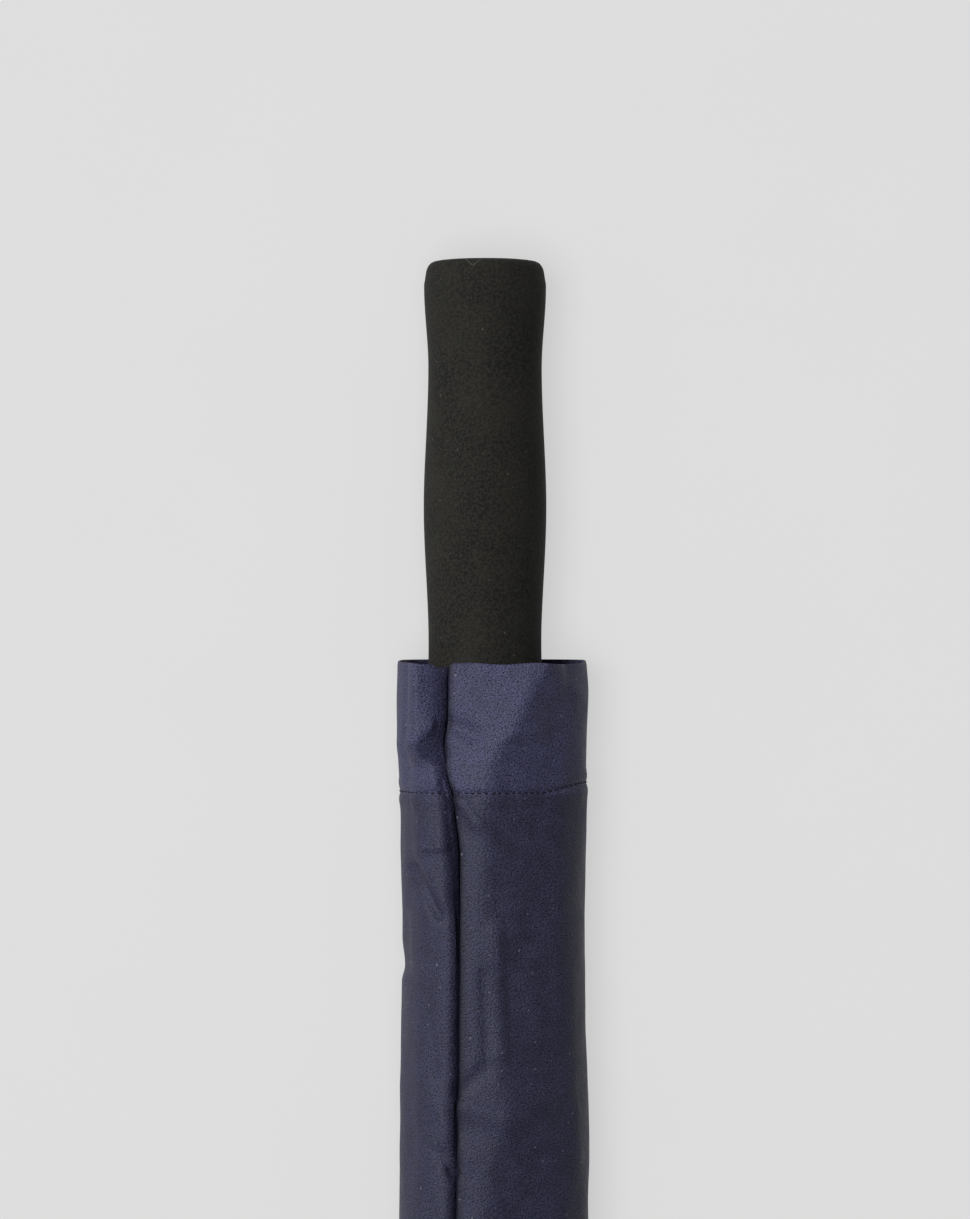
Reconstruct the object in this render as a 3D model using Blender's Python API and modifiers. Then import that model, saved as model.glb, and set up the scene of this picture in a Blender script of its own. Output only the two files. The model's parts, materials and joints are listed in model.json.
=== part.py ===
"""Stick umbrella, furled and carried in its fabric sleeve, lying on a flat surface.

The shaft runs along Y, with the grip towards +Y and the ferrule towards -Y. +Z is up, and the
origin is the middle of the underside. The umbrella is built on an empty whose own +Z is the
shaft, so its turned parts stand upright there. Places along the shaft are given as distances
from the end of the grip, and `station` turns them into heights on that axis.
"""

import math

import bmesh
import bpy
from mathutils import Matrix, Vector

MM = 0.001

# Driving dimensions.
OVERALL_LENGTH = 970 * MM  # grip's end to the sleeve's bottom seam
SLEEVE_WIDTH = 54.8 * MM
SLEEVE_HEIGHT = 47.8 * MM
AXIS_HEIGHT = 24.0 * MM  # shaft's centre above the surface that the sleeve lies on
AXIS_SIDE = -2.4 * MM  # the umbrella lies a little to the left in its loose sleeve
SHAFT_RADIUS = 7.0 * MM
RIB_COUNT = 8
RIB_RADIUS = 1.6 * MM
STRETCHER_LENGTH = 319 * MM  # pivot to pivot, and the same from the crown to the joint on the rib
CLEARANCE = 0.3 * MM  # between pieces that touch

# Distances from the end of the grip.
SLEEVE_MOUTH = 116 * MM
GRIP_END = 168 * MM
RIB_END = 200 * MM
RUNNER_PIVOT = 238 * MM
JOINT_PIVOT = RUNNER_PIVOT + STRETCHER_LENGTH
CROWN_PIVOT = JOINT_PIVOT + STRETCHER_LENGTH
CROWN_FACE = CROWN_PIVOT - 4 * MM
CROWN_BACK = CROWN_PIVOT + 9 * MM
SHAFT_END = 922 * MM
FERRULE_END = 950 * MM
OPEN_RUNNER_END = 704 * MM  # where the runner's lower end stops when the umbrella is open

# The grip's waves: distance from its end, and radius, at each crest and hollow.
GRIP_WAVES = [(6, 17.35), (31, 16.05), (71, 17.4), (110, 16.0), (146, 17.0), (168, 16.4)]
GRIP_CORNER = (4.8 * MM, 3.2 * MM)  # across and along, of the round edge at the grip's end
GRIP_BORE = 10.3 * MM

# The frame's pivots: each rib and stretcher ends in an eye threaded on a ring of wire.
PIVOT_RADIUS = 10.2 * MM  # wire ring, from the shaft's centre
WIRE_RADIUS = 0.5 * MM
EYE_RADIUS = 1.4 * MM
EYE_HOLE = 0.75 * MM
EYE_WIDTH = 1.6 * MM
GROOVE_INNER = 8.4 * MM
GROOVE_OUTER = 12.0 * MM
HUB_RADIUS = 13.2 * MM
SLOT_WIDTH = 2.2 * MM
RIB_TIP_RADIUS = 17.4 * MM  # centre of a rib's free end, from the shaft's centre

CANOPY_HEM = RIB_END + 4 * MM
CANOPY_HEM_RADIUS = 22.0 * MM
CANOPY_CROWN_RADIUS = 15.4 * MM
SLEEVE_WALL = 0.8 * MM
STRAP_WIDTH = 22 * MM
STRAP_THICKNESS = 0.6 * MM
STRAP_MIDDLE = 266 * MM

MERGE = 1e-5
ROUND_SIDES = 24
SMALL_SIDES = 8


# ---------------------------------------------------------------- scene and helpers


def clear_scene():
    for obj in list(bpy.data.objects):
        bpy.data.objects.remove(obj, do_unlink=True)


def collection(name):
    made = bpy.data.collections.new(name)
    bpy.context.scene.collection.children.link(made)
    return made


def finish(name, color, roughness, metallic=0.0):
    """A material with one Principled BSDF."""
    made = bpy.data.materials.new(name)
    made.use_nodes = True
    shader = made.node_tree.nodes["Principled BSDF"]
    shader.inputs["Base Color"].default_value = (*color, 1.0)
    shader.inputs["Roughness"].default_value = roughness
    shader.inputs["Metallic"].default_value = metallic
    return made


def station(from_grip_end):
    """Height on the umbrella's axis of a place this far from the grip's end."""
    return OVERALL_LENGTH / 2 - from_grip_end


def add(name, mesh, material, parent=None, where=None):
    """Puts a mesh into the umbrella's collection as one named object."""
    obj = bpy.data.objects.new(name, mesh)
    PARTS.objects.link(obj)
    if not mesh.materials:
        mesh.materials.append(material)
    obj.parent = parent
    if where is not None:
        obj.matrix_local = where
    return obj


def cutter(name, mesh, where=None):
    """A shape that only cuts others: never rendered, drawn as wires."""
    obj = bpy.data.objects.new(name, mesh)
    CUTTERS.objects.link(obj)
    obj.parent = UMBRELLA
    obj.hide_render = True
    obj.display_type = "WIRE"
    if where is not None:
        obj.matrix_local = where
    return obj


def cut(obj, tool, operation="DIFFERENCE"):
    made = obj.modifiers.new(operation.title(), "BOOLEAN")
    made.operation = operation
    made.object = tool
    made.solver = "EXACT"


def smooth(mesh, angle=35):
    mesh.shade_smooth()
    mesh.set_sharp_from_angle(angle=math.radians(angle))


def box_mesh(name, size, centre=(0, 0, 0)):
    bm = bmesh.new()
    bmesh.ops.create_cube(bm, size=1, matrix=Matrix.Translation(centre) @ Matrix.Diagonal((*size, 1)))
    mesh = bpy.data.meshes.new(name)
    bm.to_mesh(mesh)
    bm.free()
    return mesh


def rod_mesh(name, radius, start, end, sides):
    """A closed cylinder from start to end."""
    start, end = Vector(start), Vector(end)
    along = end - start
    turn = along.to_track_quat("Z", "Y").to_matrix().to_4x4()
    where = Matrix.Translation((start + end) / 2) @ turn
    bm = bmesh.new()
    bmesh.ops.create_cone(
        bm, cap_ends=True, segments=sides, radius1=radius, radius2=radius, depth=along.length, matrix=where
    )
    mesh = bpy.data.meshes.new(name)
    bm.to_mesh(mesh)
    bm.free()
    smooth(mesh)
    return mesh


def turned(name, profile, material, sides=ROUND_SIDES, ring=False, parent=None, where=None):
    """A turned part. The profile's (radius, height) points run down its outer side; a ring's
    profile then comes back up its inner side and closes."""
    mesh = bpy.data.meshes.new(name)
    edges = [(i, i + 1) for i in range(len(profile) - 1)]
    if ring:
        edges.append((len(profile) - 1, 0))
    mesh.from_pydata([(radius, 0, height) for radius, height in profile], edges, [])
    obj = add(name, mesh, material, parent or UMBRELLA, where)
    made = obj.modifiers.new("Turn", "SCREW")
    made.steps = made.render_steps = sides
    made.use_merge_vertices = True
    made.merge_threshold = MERGE
    return obj


def settled_mesh(obj, name):
    """The object's mesh with its modifiers applied; the object and its cutters go."""
    bpy.context.view_layer.update()
    tools = [m.object for m in obj.modifiers if m.type == "BOOLEAN"]
    shape = obj.evaluated_get(bpy.context.evaluated_depsgraph_get())
    mesh = bpy.data.meshes.new_from_object(shape)
    mesh.name = name
    for gone in [obj, *tools]:
        bpy.data.objects.remove(gone, do_unlink=True)
    smooth(mesh)
    return mesh


def with_eyes(name, body, pivots):
    """The mesh of a rod or bar that carries a flat eye at each pivot, bored for its pin or wire.

    The eyes' holes run along Y, across the rod.
    """
    pattern = cutter(name, body)
    for pivot in pivots:
        across = Vector((0, EYE_WIDTH / 2, 0))
        eye = rod_mesh(name + "_eye", EYE_RADIUS, pivot - across, pivot + across, 12)
        cut(pattern, cutter(name + "_eye", eye), "UNION")
    for pivot in pivots:
        across = Vector((0, EYE_WIDTH, 0))
        hole = rod_mesh(name + "_hole", EYE_HOLE, pivot - across, pivot + across, SMALL_SIDES)
        cut(pattern, cutter(name + "_hole", hole))
    return settled_mesh(pattern, name)


# ---------------------------------------------------------------- grip and shaft


def grip_radius(distance):
    """The foam's radius at a distance from its end: half a cosine wave between crest and hollow."""
    distance /= MM
    for (before, first), (after, second) in zip(GRIP_WAVES, GRIP_WAVES[1:]):
        if distance <= after:
            share = max(0.0, (distance - before) / (after - before))
            return (first + (second - first) * (1 - math.cos(math.pi * share)) / 2) * MM
    return GRIP_WAVES[-1][1] * MM


def build_grip():
    """Foam sleeve on a plastic core, closed by a plug at one end and a collar at the other."""
    across, along = GRIP_CORNER
    flat = grip_radius(along) - across
    corner_points, wave_points = 5, 22
    profile = [(GRIP_BORE, station(0))]
    for step in range(corner_points):
        angle = math.radians(90 * step / corner_points)
        profile.append((flat + across * math.sin(angle), station(along * (1 - math.cos(angle)))))
    for step in range(wave_points + 1):
        distance = along + (GRIP_END - along) * step / wave_points
        profile.append((grip_radius(distance), station(distance)))
    profile.append((GRIP_BORE, station(GRIP_END)))
    turned("foam_grip", profile, FOAM, ring=True)

    core_bore = SHAFT_RADIUS + CLEARANCE
    core_radius = GRIP_BORE - CLEARANCE
    core = [
        (core_radius, station(3.4 * MM)),
        (core_radius, station(GRIP_END)),
        (core_bore, station(GRIP_END)),
        (core_bore, station(3.4 * MM)),
    ]
    turned("grip_core", core, PLASTIC, ring=True)

    stem = 5.5 * MM
    plug = [
        (0, station(0.2 * MM)),
        (9.2 * MM, station(0.2 * MM)),
        (core_radius, station(0.9 * MM)),
        (core_radius, station(3.0 * MM)),
        (stem, station(3.0 * MM)),
        (stem, station(21 * MM)),
        (0, station(21 * MM)),
    ]
    turned("end_plug", plug, PLASTIC)

    top = GRIP_END + CLEARANCE
    collar = [
        (16.6 * MM, station(top)),
        (16.6 * MM, station(top + 9 * MM)),
        (15.0 * MM, station(top + 13 * MM)),
        (11.0 * MM, station(top + 15 * MM)),
        (core_bore, station(top + 15 * MM)),
        (core_bore, station(top)),
    ]
    turned("grip_collar", collar, PLASTIC, ring=True)


def build_shaft():
    """Steel tube with a slot and a cross hole for each of its two catches."""
    wall = 1.2 * MM
    top, bottom = station(3.5 * MM), station(SHAFT_END)
    outer, inner = SHAFT_RADIUS, SHAFT_RADIUS - wall
    shaft = turned("shaft", [(outer, top), (outer, bottom), (inner, bottom), (inner, top)], STEEL, ring=True)
    for name, pivot, nose in catch_places():
        middle = (pivot + nose) / 2
        long = abs(pivot - nose) + 8 * MM
        slot = box_mesh(name + "_slot", (2.8 * MM, 8 * MM, long), (0, -8.5 * MM, station(middle)))
        cut(shaft, cutter(name + "_slot", slot))
        across = Vector((10 * MM, 0, 0))
        centre = Vector((0, 0, station(pivot)))
        hole = rod_mesh(name + "_pin_hole", 1.15 * MM, centre - across, centre + across, SMALL_SIDES)
        cut(shaft, cutter(name + "_pin_hole", hole))


def catch_places():
    """Name, pivot and square face of each catch, as distances from the grip's end."""
    reach = 24 * MM
    closed_face = RUNNER_PIVOT - 26 * MM
    return [
        ("bottom_catch", closed_face + reach, closed_face),
        ("top_catch", OPEN_RUNNER_END - reach, OPEN_RUNNER_END),
    ]


def closed_loop(curve, points):
    """Adds one closed outline of straight edges to a flat curve."""
    loop = curve.splines.new("POLY")
    loop.points.add(len(points) - 1)
    for point, (x, y) in zip(loop.points, points):
        point.co = (x, y, 0, 1)
    loop.use_cyclic_u = True


def build_catches():
    """Sprung catches that hold the runner: a ramp on the side it comes from, a square face behind.

    Each is a flat plate on a cross pin, and its nose stands out of the shaft's slot at the top.
    """
    plate = 2.0 * MM
    hole_radius, pin_radius = 1.05 * MM, 0.8 * MM
    heel = [(-1.2, 2.0), (-2.2, 1.2), (-2.2, -1.6), (-1.2, -2.4), (4.0, -2.2)]
    nose_end = [(21.0, 0.6), (24.0, 2.6), (24.0, 10.6), (21.5, 10.6), (5.0, 4.2)]
    turns = [2 * math.pi * step / 12 for step in range(12)]
    for name, pivot, nose in catch_places():
        curve = bpy.data.curves.new(name, "CURVE")
        curve.dimensions = "2D"
        curve.fill_mode = "BOTH"
        curve.extrude = plate / 2
        closed_loop(curve, [(x * MM, y * MM) for x, y in heel + nose_end])
        closed_loop(curve, [(hole_radius * math.cos(a), hole_radius * math.sin(a)) for a in turns])
        # The outline's +X points from the pivot to the nose, and its +Y out of the shaft, which is up.
        along = math.copysign(1, pivot - nose)
        turn = Matrix(((0, 0, along), (0, -1, 0), (along, 0, 0))).to_4x4()
        where = Matrix.Translation((0, 0, station(pivot))) @ turn
        obj = bpy.data.objects.new(name, curve)
        PARTS.objects.link(obj)
        curve.materials.append(STEEL)
        obj.parent = UMBRELLA
        obj.matrix_local = where
        half = Vector((SHAFT_RADIUS - 0.25 * MM, 0, 0))
        centre = Vector((0, 0, station(pivot)))
        pin = rod_mesh(name + "_pin", pin_radius, centre - half, centre + half, SMALL_SIDES)
        add(name + "_pin", pin, STEEL, UMBRELLA)


# ---------------------------------------------------------------- the folding frame


def rib_angles():
    return [math.radians(360 / RIB_COUNT * (index + 0.5)) for index in range(RIB_COUNT)]


def rib_tilt():
    """How far a closed rib leans out from the shaft."""
    return math.atan2(RIB_TIP_RADIUS - PIVOT_RADIUS, CROWN_PIVOT - RIB_END)


def rib_frame(angle):
    """The frame of one rib: its origin at the crown pivot, its +Z along the rib, its +X outwards."""
    return (
        Matrix.Rotation(angle, 4, "Z")
        @ Matrix.Translation((PIVOT_RADIUS, 0, station(CROWN_PIVOT)))
        @ Matrix.Rotation(rib_tilt(), 4, "Y")
    )


def hub_slots(name, low, high):
    """Eight boxes that open the outer wall of a runner's or crown's groove, as one cutting mesh."""
    bm = bmesh.new()
    depth = HUB_RADIUS - GROOVE_INNER + 2 * MM
    for angle in rib_angles():
        where = (
            Matrix.Rotation(angle, 4, "Z")
            @ Matrix.Translation((GROOVE_OUTER - 1.0 * MM + depth / 2, 0, (low + high) / 2))
            @ Matrix.Diagonal((depth, SLOT_WIDTH, high - low, 1))
        )
        bmesh.ops.create_cube(bm, size=1, matrix=where)
    mesh = bpy.data.meshes.new(name)
    bm.to_mesh(mesh)
    bm.free()
    return cutter(name, mesh)


def wire_ring(name, height):
    """The closed ring of wire that the eyes turn on."""
    bpy.ops.mesh.primitive_torus_add(
        major_radius=PIVOT_RADIUS, minor_radius=WIRE_RADIUS, major_segments=ROUND_SIDES, minor_segments=6
    )
    made = bpy.context.object
    mesh = made.data
    bpy.data.objects.remove(made)
    mesh.name = name
    add(name, mesh, STEEL, UMBRELLA, Matrix.Translation((0, 0, height)))


def build_runner():
    """The runner slides on the shaft; a window in its barrel takes the bottom catch's nose."""
    face = RUNNER_PIVOT + 4 * MM
    groove_floor = RUNNER_PIVOT - 4 * MM
    bore = SHAFT_RADIUS + 0.4 * MM
    barrel = 9.2 * MM
    lower_end = RUNNER_PIVOT - 40 * MM
    profile = [
        (barrel + 1.2 * MM, station(lower_end)),
        (barrel + 1.2 * MM, station(lower_end + 2.5 * MM)),
        (barrel, station(lower_end + 3.5 * MM)),
        (barrel, station(groove_floor - 6 * MM)),
        (HUB_RADIUS, station(groove_floor - 2.5 * MM)),
        (HUB_RADIUS, station(face)),
        (GROOVE_OUTER, station(face)),
        (GROOVE_OUTER, station(groove_floor)),
        (GROOVE_INNER, station(groove_floor)),
        (GROOVE_INNER, station(face)),
        (bore, station(face)),
        (bore, station(lower_end)),
    ]
    runner = turned("runner", profile, NYLON, ring=True)
    cut(runner, hub_slots("runner_slots", station(face + 2 * MM), station(groove_floor)))
    catch = RUNNER_PIVOT - 24 * MM
    window = box_mesh("runner_window", (3.4 * MM, 6 * MM, 18 * MM), (0, -9.5 * MM, station(catch + 4 * MM)))
    cut(runner, cutter("runner_window", window))
    wire_ring("runner_wire", station(RUNNER_PIVOT))


def build_crown():
    """The crown is fixed on the shaft, and the ribs hang from its ring of wire."""
    groove_floor = CROWN_PIVOT + 4 * MM
    bore = SHAFT_RADIUS + CLEARANCE
    profile = [
        (GROOVE_OUTER, station(CROWN_FACE)),
        (HUB_RADIUS, station(CROWN_FACE)),
        (HUB_RADIUS, station(CROWN_BACK - 2 * MM)),
        (HUB_RADIUS - 2 * MM, station(CROWN_BACK)),
        (bore, station(CROWN_BACK)),
        (bore, station(CROWN_FACE)),
        (GROOVE_INNER, station(CROWN_FACE)),
        (GROOVE_INNER, station(groove_floor)),
        (GROOVE_OUTER, station(groove_floor)),
    ]
    crown = turned("crown", profile, NYLON, ring=True)
    cut(crown, hub_slots("crown_slots", station(groove_floor), station(CROWN_FACE - 2 * MM)))
    wire_ring("crown_wire", station(CROWN_PIVOT))


def build_ribs():
    """Glass-fibre ribs, each with its eye at the crown, its joint bracket, rivet and tip cap."""
    length = (CROWN_PIVOT - RIB_END) / math.cos(rib_tilt())
    joint = Vector((-STRETCHER_LENGTH * math.tan(rib_tilt()), 0, STRETCHER_LENGTH))
    neck = 5 * MM
    body = rod_mesh("rib_rod", RIB_RADIUS, (0, 0, neck), (0, 0, length), SMALL_SIDES)
    shank = rod_mesh("rib_shank", 0.75 * MM, (0, 0, 0.9 * MM), (0, 0, neck + 2 * MM), SMALL_SIDES)
    rod = cutter("rib_rod", body)
    cut(rod, cutter("rib_shank", shank), "UNION")
    rib = with_eyes("rib", settled_mesh(rod, "rib_rod"), [Vector((0, 0, 0))])
    bracket = bracket_mesh(joint)
    across = Vector((0, 2.9 * MM, 0))
    rivet = rod_mesh("rivet", 0.5 * MM, joint - across, joint + across, SMALL_SIDES)
    cap = cap_mesh()
    for index, angle in enumerate(rib_angles(), start=1):
        where = rib_frame(angle)
        add(f"rib_{index}", rib, FIBRE, UMBRELLA, where)
        add(f"rib_joint_{index}", bracket, NYLON, UMBRELLA, where)
        add(f"joint_rivet_{index}", rivet, STEEL, UMBRELLA, where)
        add(f"rib_tip_{index}", cap, NYLON, UMBRELLA, where @ Matrix.Translation((0, 0, length)))


def bracket_mesh(joint):
    """The bracket is clipped on the rib; the stretcher's eye sits between its two ears."""
    long, wide = 12 * MM, 4.8 * MM
    inner, outer = joint.x - 1.9 * MM, RIB_RADIUS + 0.8 * MM
    size = (outer - inner, wide, long)
    centre = ((outer + inner) / 2, 0, joint.z)
    block = cutter("bracket", box_mesh("bracket", size, centre))
    reach = Vector((0, 0, long))
    seat = Vector((0, 0, joint.z))
    bore = rod_mesh("bracket_bore", RIB_RADIUS + 0.2 * MM, seat - reach, seat + reach, 12)
    cut(block, cutter("bracket_bore", bore))
    gap_top = -RIB_RADIUS + 0.2 * MM
    gap_low = inner - 1 * MM
    gap = box_mesh(
        "bracket_gap", (gap_top - gap_low, SLOT_WIDTH, 2 * long), ((gap_top + gap_low) / 2, 0, joint.z)
    )
    cut(block, cutter("bracket_gap", gap))
    across = Vector((0, wide, 0))
    hole = rod_mesh("bracket_hole", 0.8 * MM, joint - across, joint + across, SMALL_SIDES)
    cut(block, cutter("bracket_hole", hole))
    return settled_mesh(block, "bracket")


def cap_mesh():
    """Moulded tip that covers a rib's free end and holds the canopy's hem."""
    bore = RIB_RADIUS + 0.25 * MM
    wall = 0.7 * MM
    head = 9 * MM
    profile = [
        (0, head),
        (1.2 * MM, head - 0.4 * MM),
        (1.9 * MM, head - 1.6 * MM),
        (1.7 * MM, head - 3.4 * MM),
        (bore + wall, 1.5 * MM),
        (bore + wall, -8 * MM),
        (bore, -8 * MM),
        (bore, CLEARANCE),
        (0, CLEARANCE),
    ]
    obj = turned("rib_tip", profile, NYLON, sides=10)
    return settled_mesh(obj, "rib_tip")


def build_stretchers():
    """Flat steel struts from the runner's wire to the brackets, straight when the umbrella is shut."""
    inset = 1.0 * MM
    size = (2.0 * MM, EYE_WIDTH - 0.3 * MM, STRETCHER_LENGTH - 2 * inset)
    body = box_mesh("stretcher_bar", size, (0, 0, -STRETCHER_LENGTH / 2))
    mesh = with_eyes("stretcher", body, [Vector((0, 0, 0)), Vector((0, 0, -STRETCHER_LENGTH))])
    for index, angle in enumerate(rib_angles(), start=1):
        where = Matrix.Rotation(angle, 4, "Z") @ Matrix.Translation((PIVOT_RADIUS, 0, station(RUNNER_PIVOT)))
        add(f"stretcher_{index}", mesh, STEEL, UMBRELLA, where)


# ---------------------------------------------------------------- canopy, strap and ferrule


def canopy_radius(distance):
    """Outer radius of the furled cloth, which narrows evenly from the hem to the crown."""
    share = (distance - CANOPY_HEM) / (CROWN_PIVOT - CANOPY_HEM)
    return CANOPY_HEM_RADIUS + (CANOPY_CROWN_RADIUS - CANOPY_HEM_RADIUS) * share


def build_canopy():
    """The furled cloth as one tapering shell round the closed frame, gathered behind the crown."""
    seat = CROWN_BACK + CLEARANCE
    gather = CROWN_BACK + 5 * MM
    neck = SHAFT_RADIUS + 0.4 * MM
    inner_hem, inner_crown = 20.4 * MM, HUB_RADIUS + 0.4 * MM
    profile = [
        (CANOPY_HEM_RADIUS, station(CANOPY_HEM)),
        (CANOPY_CROWN_RADIUS, station(CROWN_PIVOT)),
        (14.8 * MM, station(CROWN_BACK + 1 * MM)),
        (neck + 1.6 * MM, station(gather)),
        (neck, station(gather)),
        (neck, station(seat)),
        (HUB_RADIUS - 1.8 * MM, station(seat)),
        (inner_crown, station(CROWN_BACK - 1.8 * MM)),
        (inner_crown, station(CROWN_FACE)),
        (inner_hem, station(CANOPY_HEM)),
    ]
    turned("canopy", profile, CLOTH, ring=True)

    washer = gather + CLEARANCE
    outer, thick = 12.5 * MM, 0.9 * MM
    profile = [
        (outer, station(washer)),
        (outer, station(washer + thick)),
        (neck, station(washer + thick)),
        (neck, station(washer)),
    ]
    turned("canopy_washer", profile, CLOTH, ring=True)
    return washer + thick + CLEARANCE


def build_ferrule(start):
    """Metal ferrule pressed on the shaft behind the canopy, with a plastic tip screwed in."""
    bore = SHAFT_RADIUS + CLEARANCE
    joint = SHAFT_END + 1.2 * MM
    ferrule = [
        (9.6 * MM, station(start)),
        (9.6 * MM, station(start + 2.5 * MM)),
        (8.6 * MM, station(start + 4 * MM)),
        (8.3 * MM, station(SHAFT_END - 6 * MM)),
        (6.2 * MM, station(joint + 3 * MM)),
        (3.2 * MM, station(joint + 3 * MM)),
        (3.2 * MM, station(joint)),
        (bore, station(joint)),
        (bore, station(start)),
    ]
    turned("ferrule", ferrule, STEEL, ring=True)
    seat = joint + 3 * MM + CLEARANCE
    stem = 2.8 * MM
    tip = [
        (0, station(joint - 2 * MM)),
        (stem, station(joint - 2 * MM)),
        (stem, station(seat)),
        (6.0 * MM, station(seat)),
        (5.6 * MM, station(FERRULE_END - 7 * MM)),
        (4.8 * MM, station(FERRULE_END - 2 * MM)),
        (2.8 * MM, station(FERRULE_END)),
        (0, station(FERRULE_END)),
    ]
    turned("ferrule_tip", tip, PLASTIC)


def build_strap():
    """Band of canopy cloth, closed by a press stud, that ties the furled canopy near its hem."""
    low, high = STRAP_MIDDLE - STRAP_WIDTH / 2, STRAP_MIDDLE + STRAP_WIDTH / 2
    gap = 0.35 * MM
    near, far = canopy_radius(low) + gap, canopy_radius(high) + gap
    profile = [
        (near + STRAP_THICKNESS, station(low)),
        (far + STRAP_THICKNESS, station(high)),
        (far, station(high)),
        (near, station(low)),
    ]
    turned("tie_strap", profile, CLOTH, ring=True)

    # The press stud's cap lies on the strap's overlap, on the side of the sleeve with more room.
    out = canopy_radius(STRAP_MIDDLE) + gap + STRAP_THICKNESS + CLEARANCE
    cap = [
        (0, 1.7 * MM),
        (3.6 * MM, 1.4 * MM),
        (5.2 * MM, 0.6 * MM),
        (5.2 * MM, 0),
        (0, 0),
    ]
    side = Matrix.Translation((out, 0, station(STRAP_MIDDLE))) @ Matrix.Rotation(math.radians(90), 4, "Y")
    turned("strap_stud", cap, STEEL, sides=16, where=side)


# ---------------------------------------------------------------- sleeve


def sleeve_stations():
    """(distance from the grip's end, width, height, height of the underside) of each cross-section.

    The tube keeps its size along the furled canopy, then flattens to the seam across its bottom.
    """
    bottom = OVERALL_LENGTH
    straight_end = 800 * MM
    seam = (48 * MM, 5.0 * MM, 18 * MM)
    rows = [(SLEEVE_MOUTH, SLEEVE_WIDTH, SLEEVE_HEIGHT, 0.0)]
    rows += [(SLEEVE_MOUTH + (straight_end - SLEEVE_MOUTH) * i / 4, SLEEVE_WIDTH, SLEEVE_HEIGHT, 0.0)
             for i in range(1, 5)]
    taper_rows = 6
    for step in range(1, taper_rows + 1):
        share = step / taper_rows
        shrink = 1 - math.sqrt(max(0.0, 1 - share ** 2.2))
        distance = straight_end + (bottom - straight_end) * share
        width = SLEEVE_WIDTH + (seam[0] - SLEEVE_WIDTH) * shrink
        height = SLEEVE_HEIGHT + (seam[1] - SLEEVE_HEIGHT) * shrink
        rows.append((distance, width, height, seam[2] * shrink ** 1.5))
    return rows


def sleeve_section(width, height, underside, sides=32):
    """A rounded section whose underside is pressed flat: (x, z) points, anticlockwise."""
    power = 2 / 2.3
    rise = height * 0.04  # how much of the round bottom the surface presses flat
    middle = underside + (height - rise) / 2
    points = []
    for step in range(sides):
        angle = 2 * math.pi * step / sides
        c, s = math.cos(angle), math.sin(angle)
        x = width / 2 * math.copysign(abs(c) ** power, c)
        z = middle + (height + rise) / 2 * math.copysign(abs(s) ** power, s)
        points.append((x, max(z, underside)))
    return points


def build_sleeve():
    """The sleeve is a sewn tube, open at the grip and seamed flat across the bottom."""
    mesh = bpy.data.meshes.new("sleeve")
    bm = bmesh.new()
    mouth = OVERALL_LENGTH / 2 - SLEEVE_MOUTH
    rings = []
    for distance, width, height, underside in sleeve_stations():
        section = sleeve_section(width, height, underside)
        y = station(distance) - mouth
        rings.append([bm.verts.new((x, y, z)) for x, z in section])
    sides = len(rings[0])
    for near, far in zip(rings, rings[1:]):
        for i in range(sides):
            j = (i + 1) % sides
            bm.faces.new((near[i], near[j], far[j], far[i]))
    bm.faces.new(rings[-1])
    bmesh.ops.recalc_face_normals(bm, faces=bm.faces)
    bm.to_mesh(mesh)
    bm.free()
    smooth(mesh, 50)
    sleeve = add("sleeve", mesh, CLOTH, None, Matrix.Translation((0, mouth, 0)))
    wall = sleeve.modifiers.new("Wall", "SOLIDIFY")
    wall.thickness = SLEEVE_WALL
    wall.offset = -1


# ---------------------------------------------------------------- assembly

clear_scene()
PARTS = collection("umbrella_in_sleeve")
CUTTERS = collection("cutters")

FOAM = finish("black_foam", (0.012, 0.012, 0.010), 0.9)
PLASTIC = finish("black_plastic", (0.02, 0.02, 0.02), 0.45)
NYLON = finish("grey_nylon", (0.05, 0.05, 0.055), 0.5)
STEEL = finish("steel", (0.5, 0.5, 0.5), 0.3, 1.0)
FIBRE = finish("glass_fibre", (0.03, 0.03, 0.035), 0.4)
CLOTH = finish("navy_cloth", (0.03, 0.033, 0.075), 0.5)

UMBRELLA = bpy.data.objects.new("umbrella_axis", None)
PARTS.objects.link(UMBRELLA)
UMBRELLA.location = (AXIS_SIDE, 0, AXIS_HEIGHT)
UMBRELLA.rotation_euler = (math.radians(-90), 0, 0)

build_grip()
build_shaft()
build_catches()
build_runner()
build_crown()
build_ribs()
build_stretchers()
build_ferrule(build_canopy())
build_strap()
build_sleeve()
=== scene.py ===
"""Looks of a stick umbrella that lies furled in its fabric sleeve.

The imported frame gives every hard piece. This script gives them their finishes,
and makes the soft pieces: the foam grip, the sleeve with its knife pleat and
hem, the furled canopy and the tie strap.
"""

from __future__ import annotations

import json
import logging
import math
from dataclasses import dataclass, field
from enum import Enum

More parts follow.
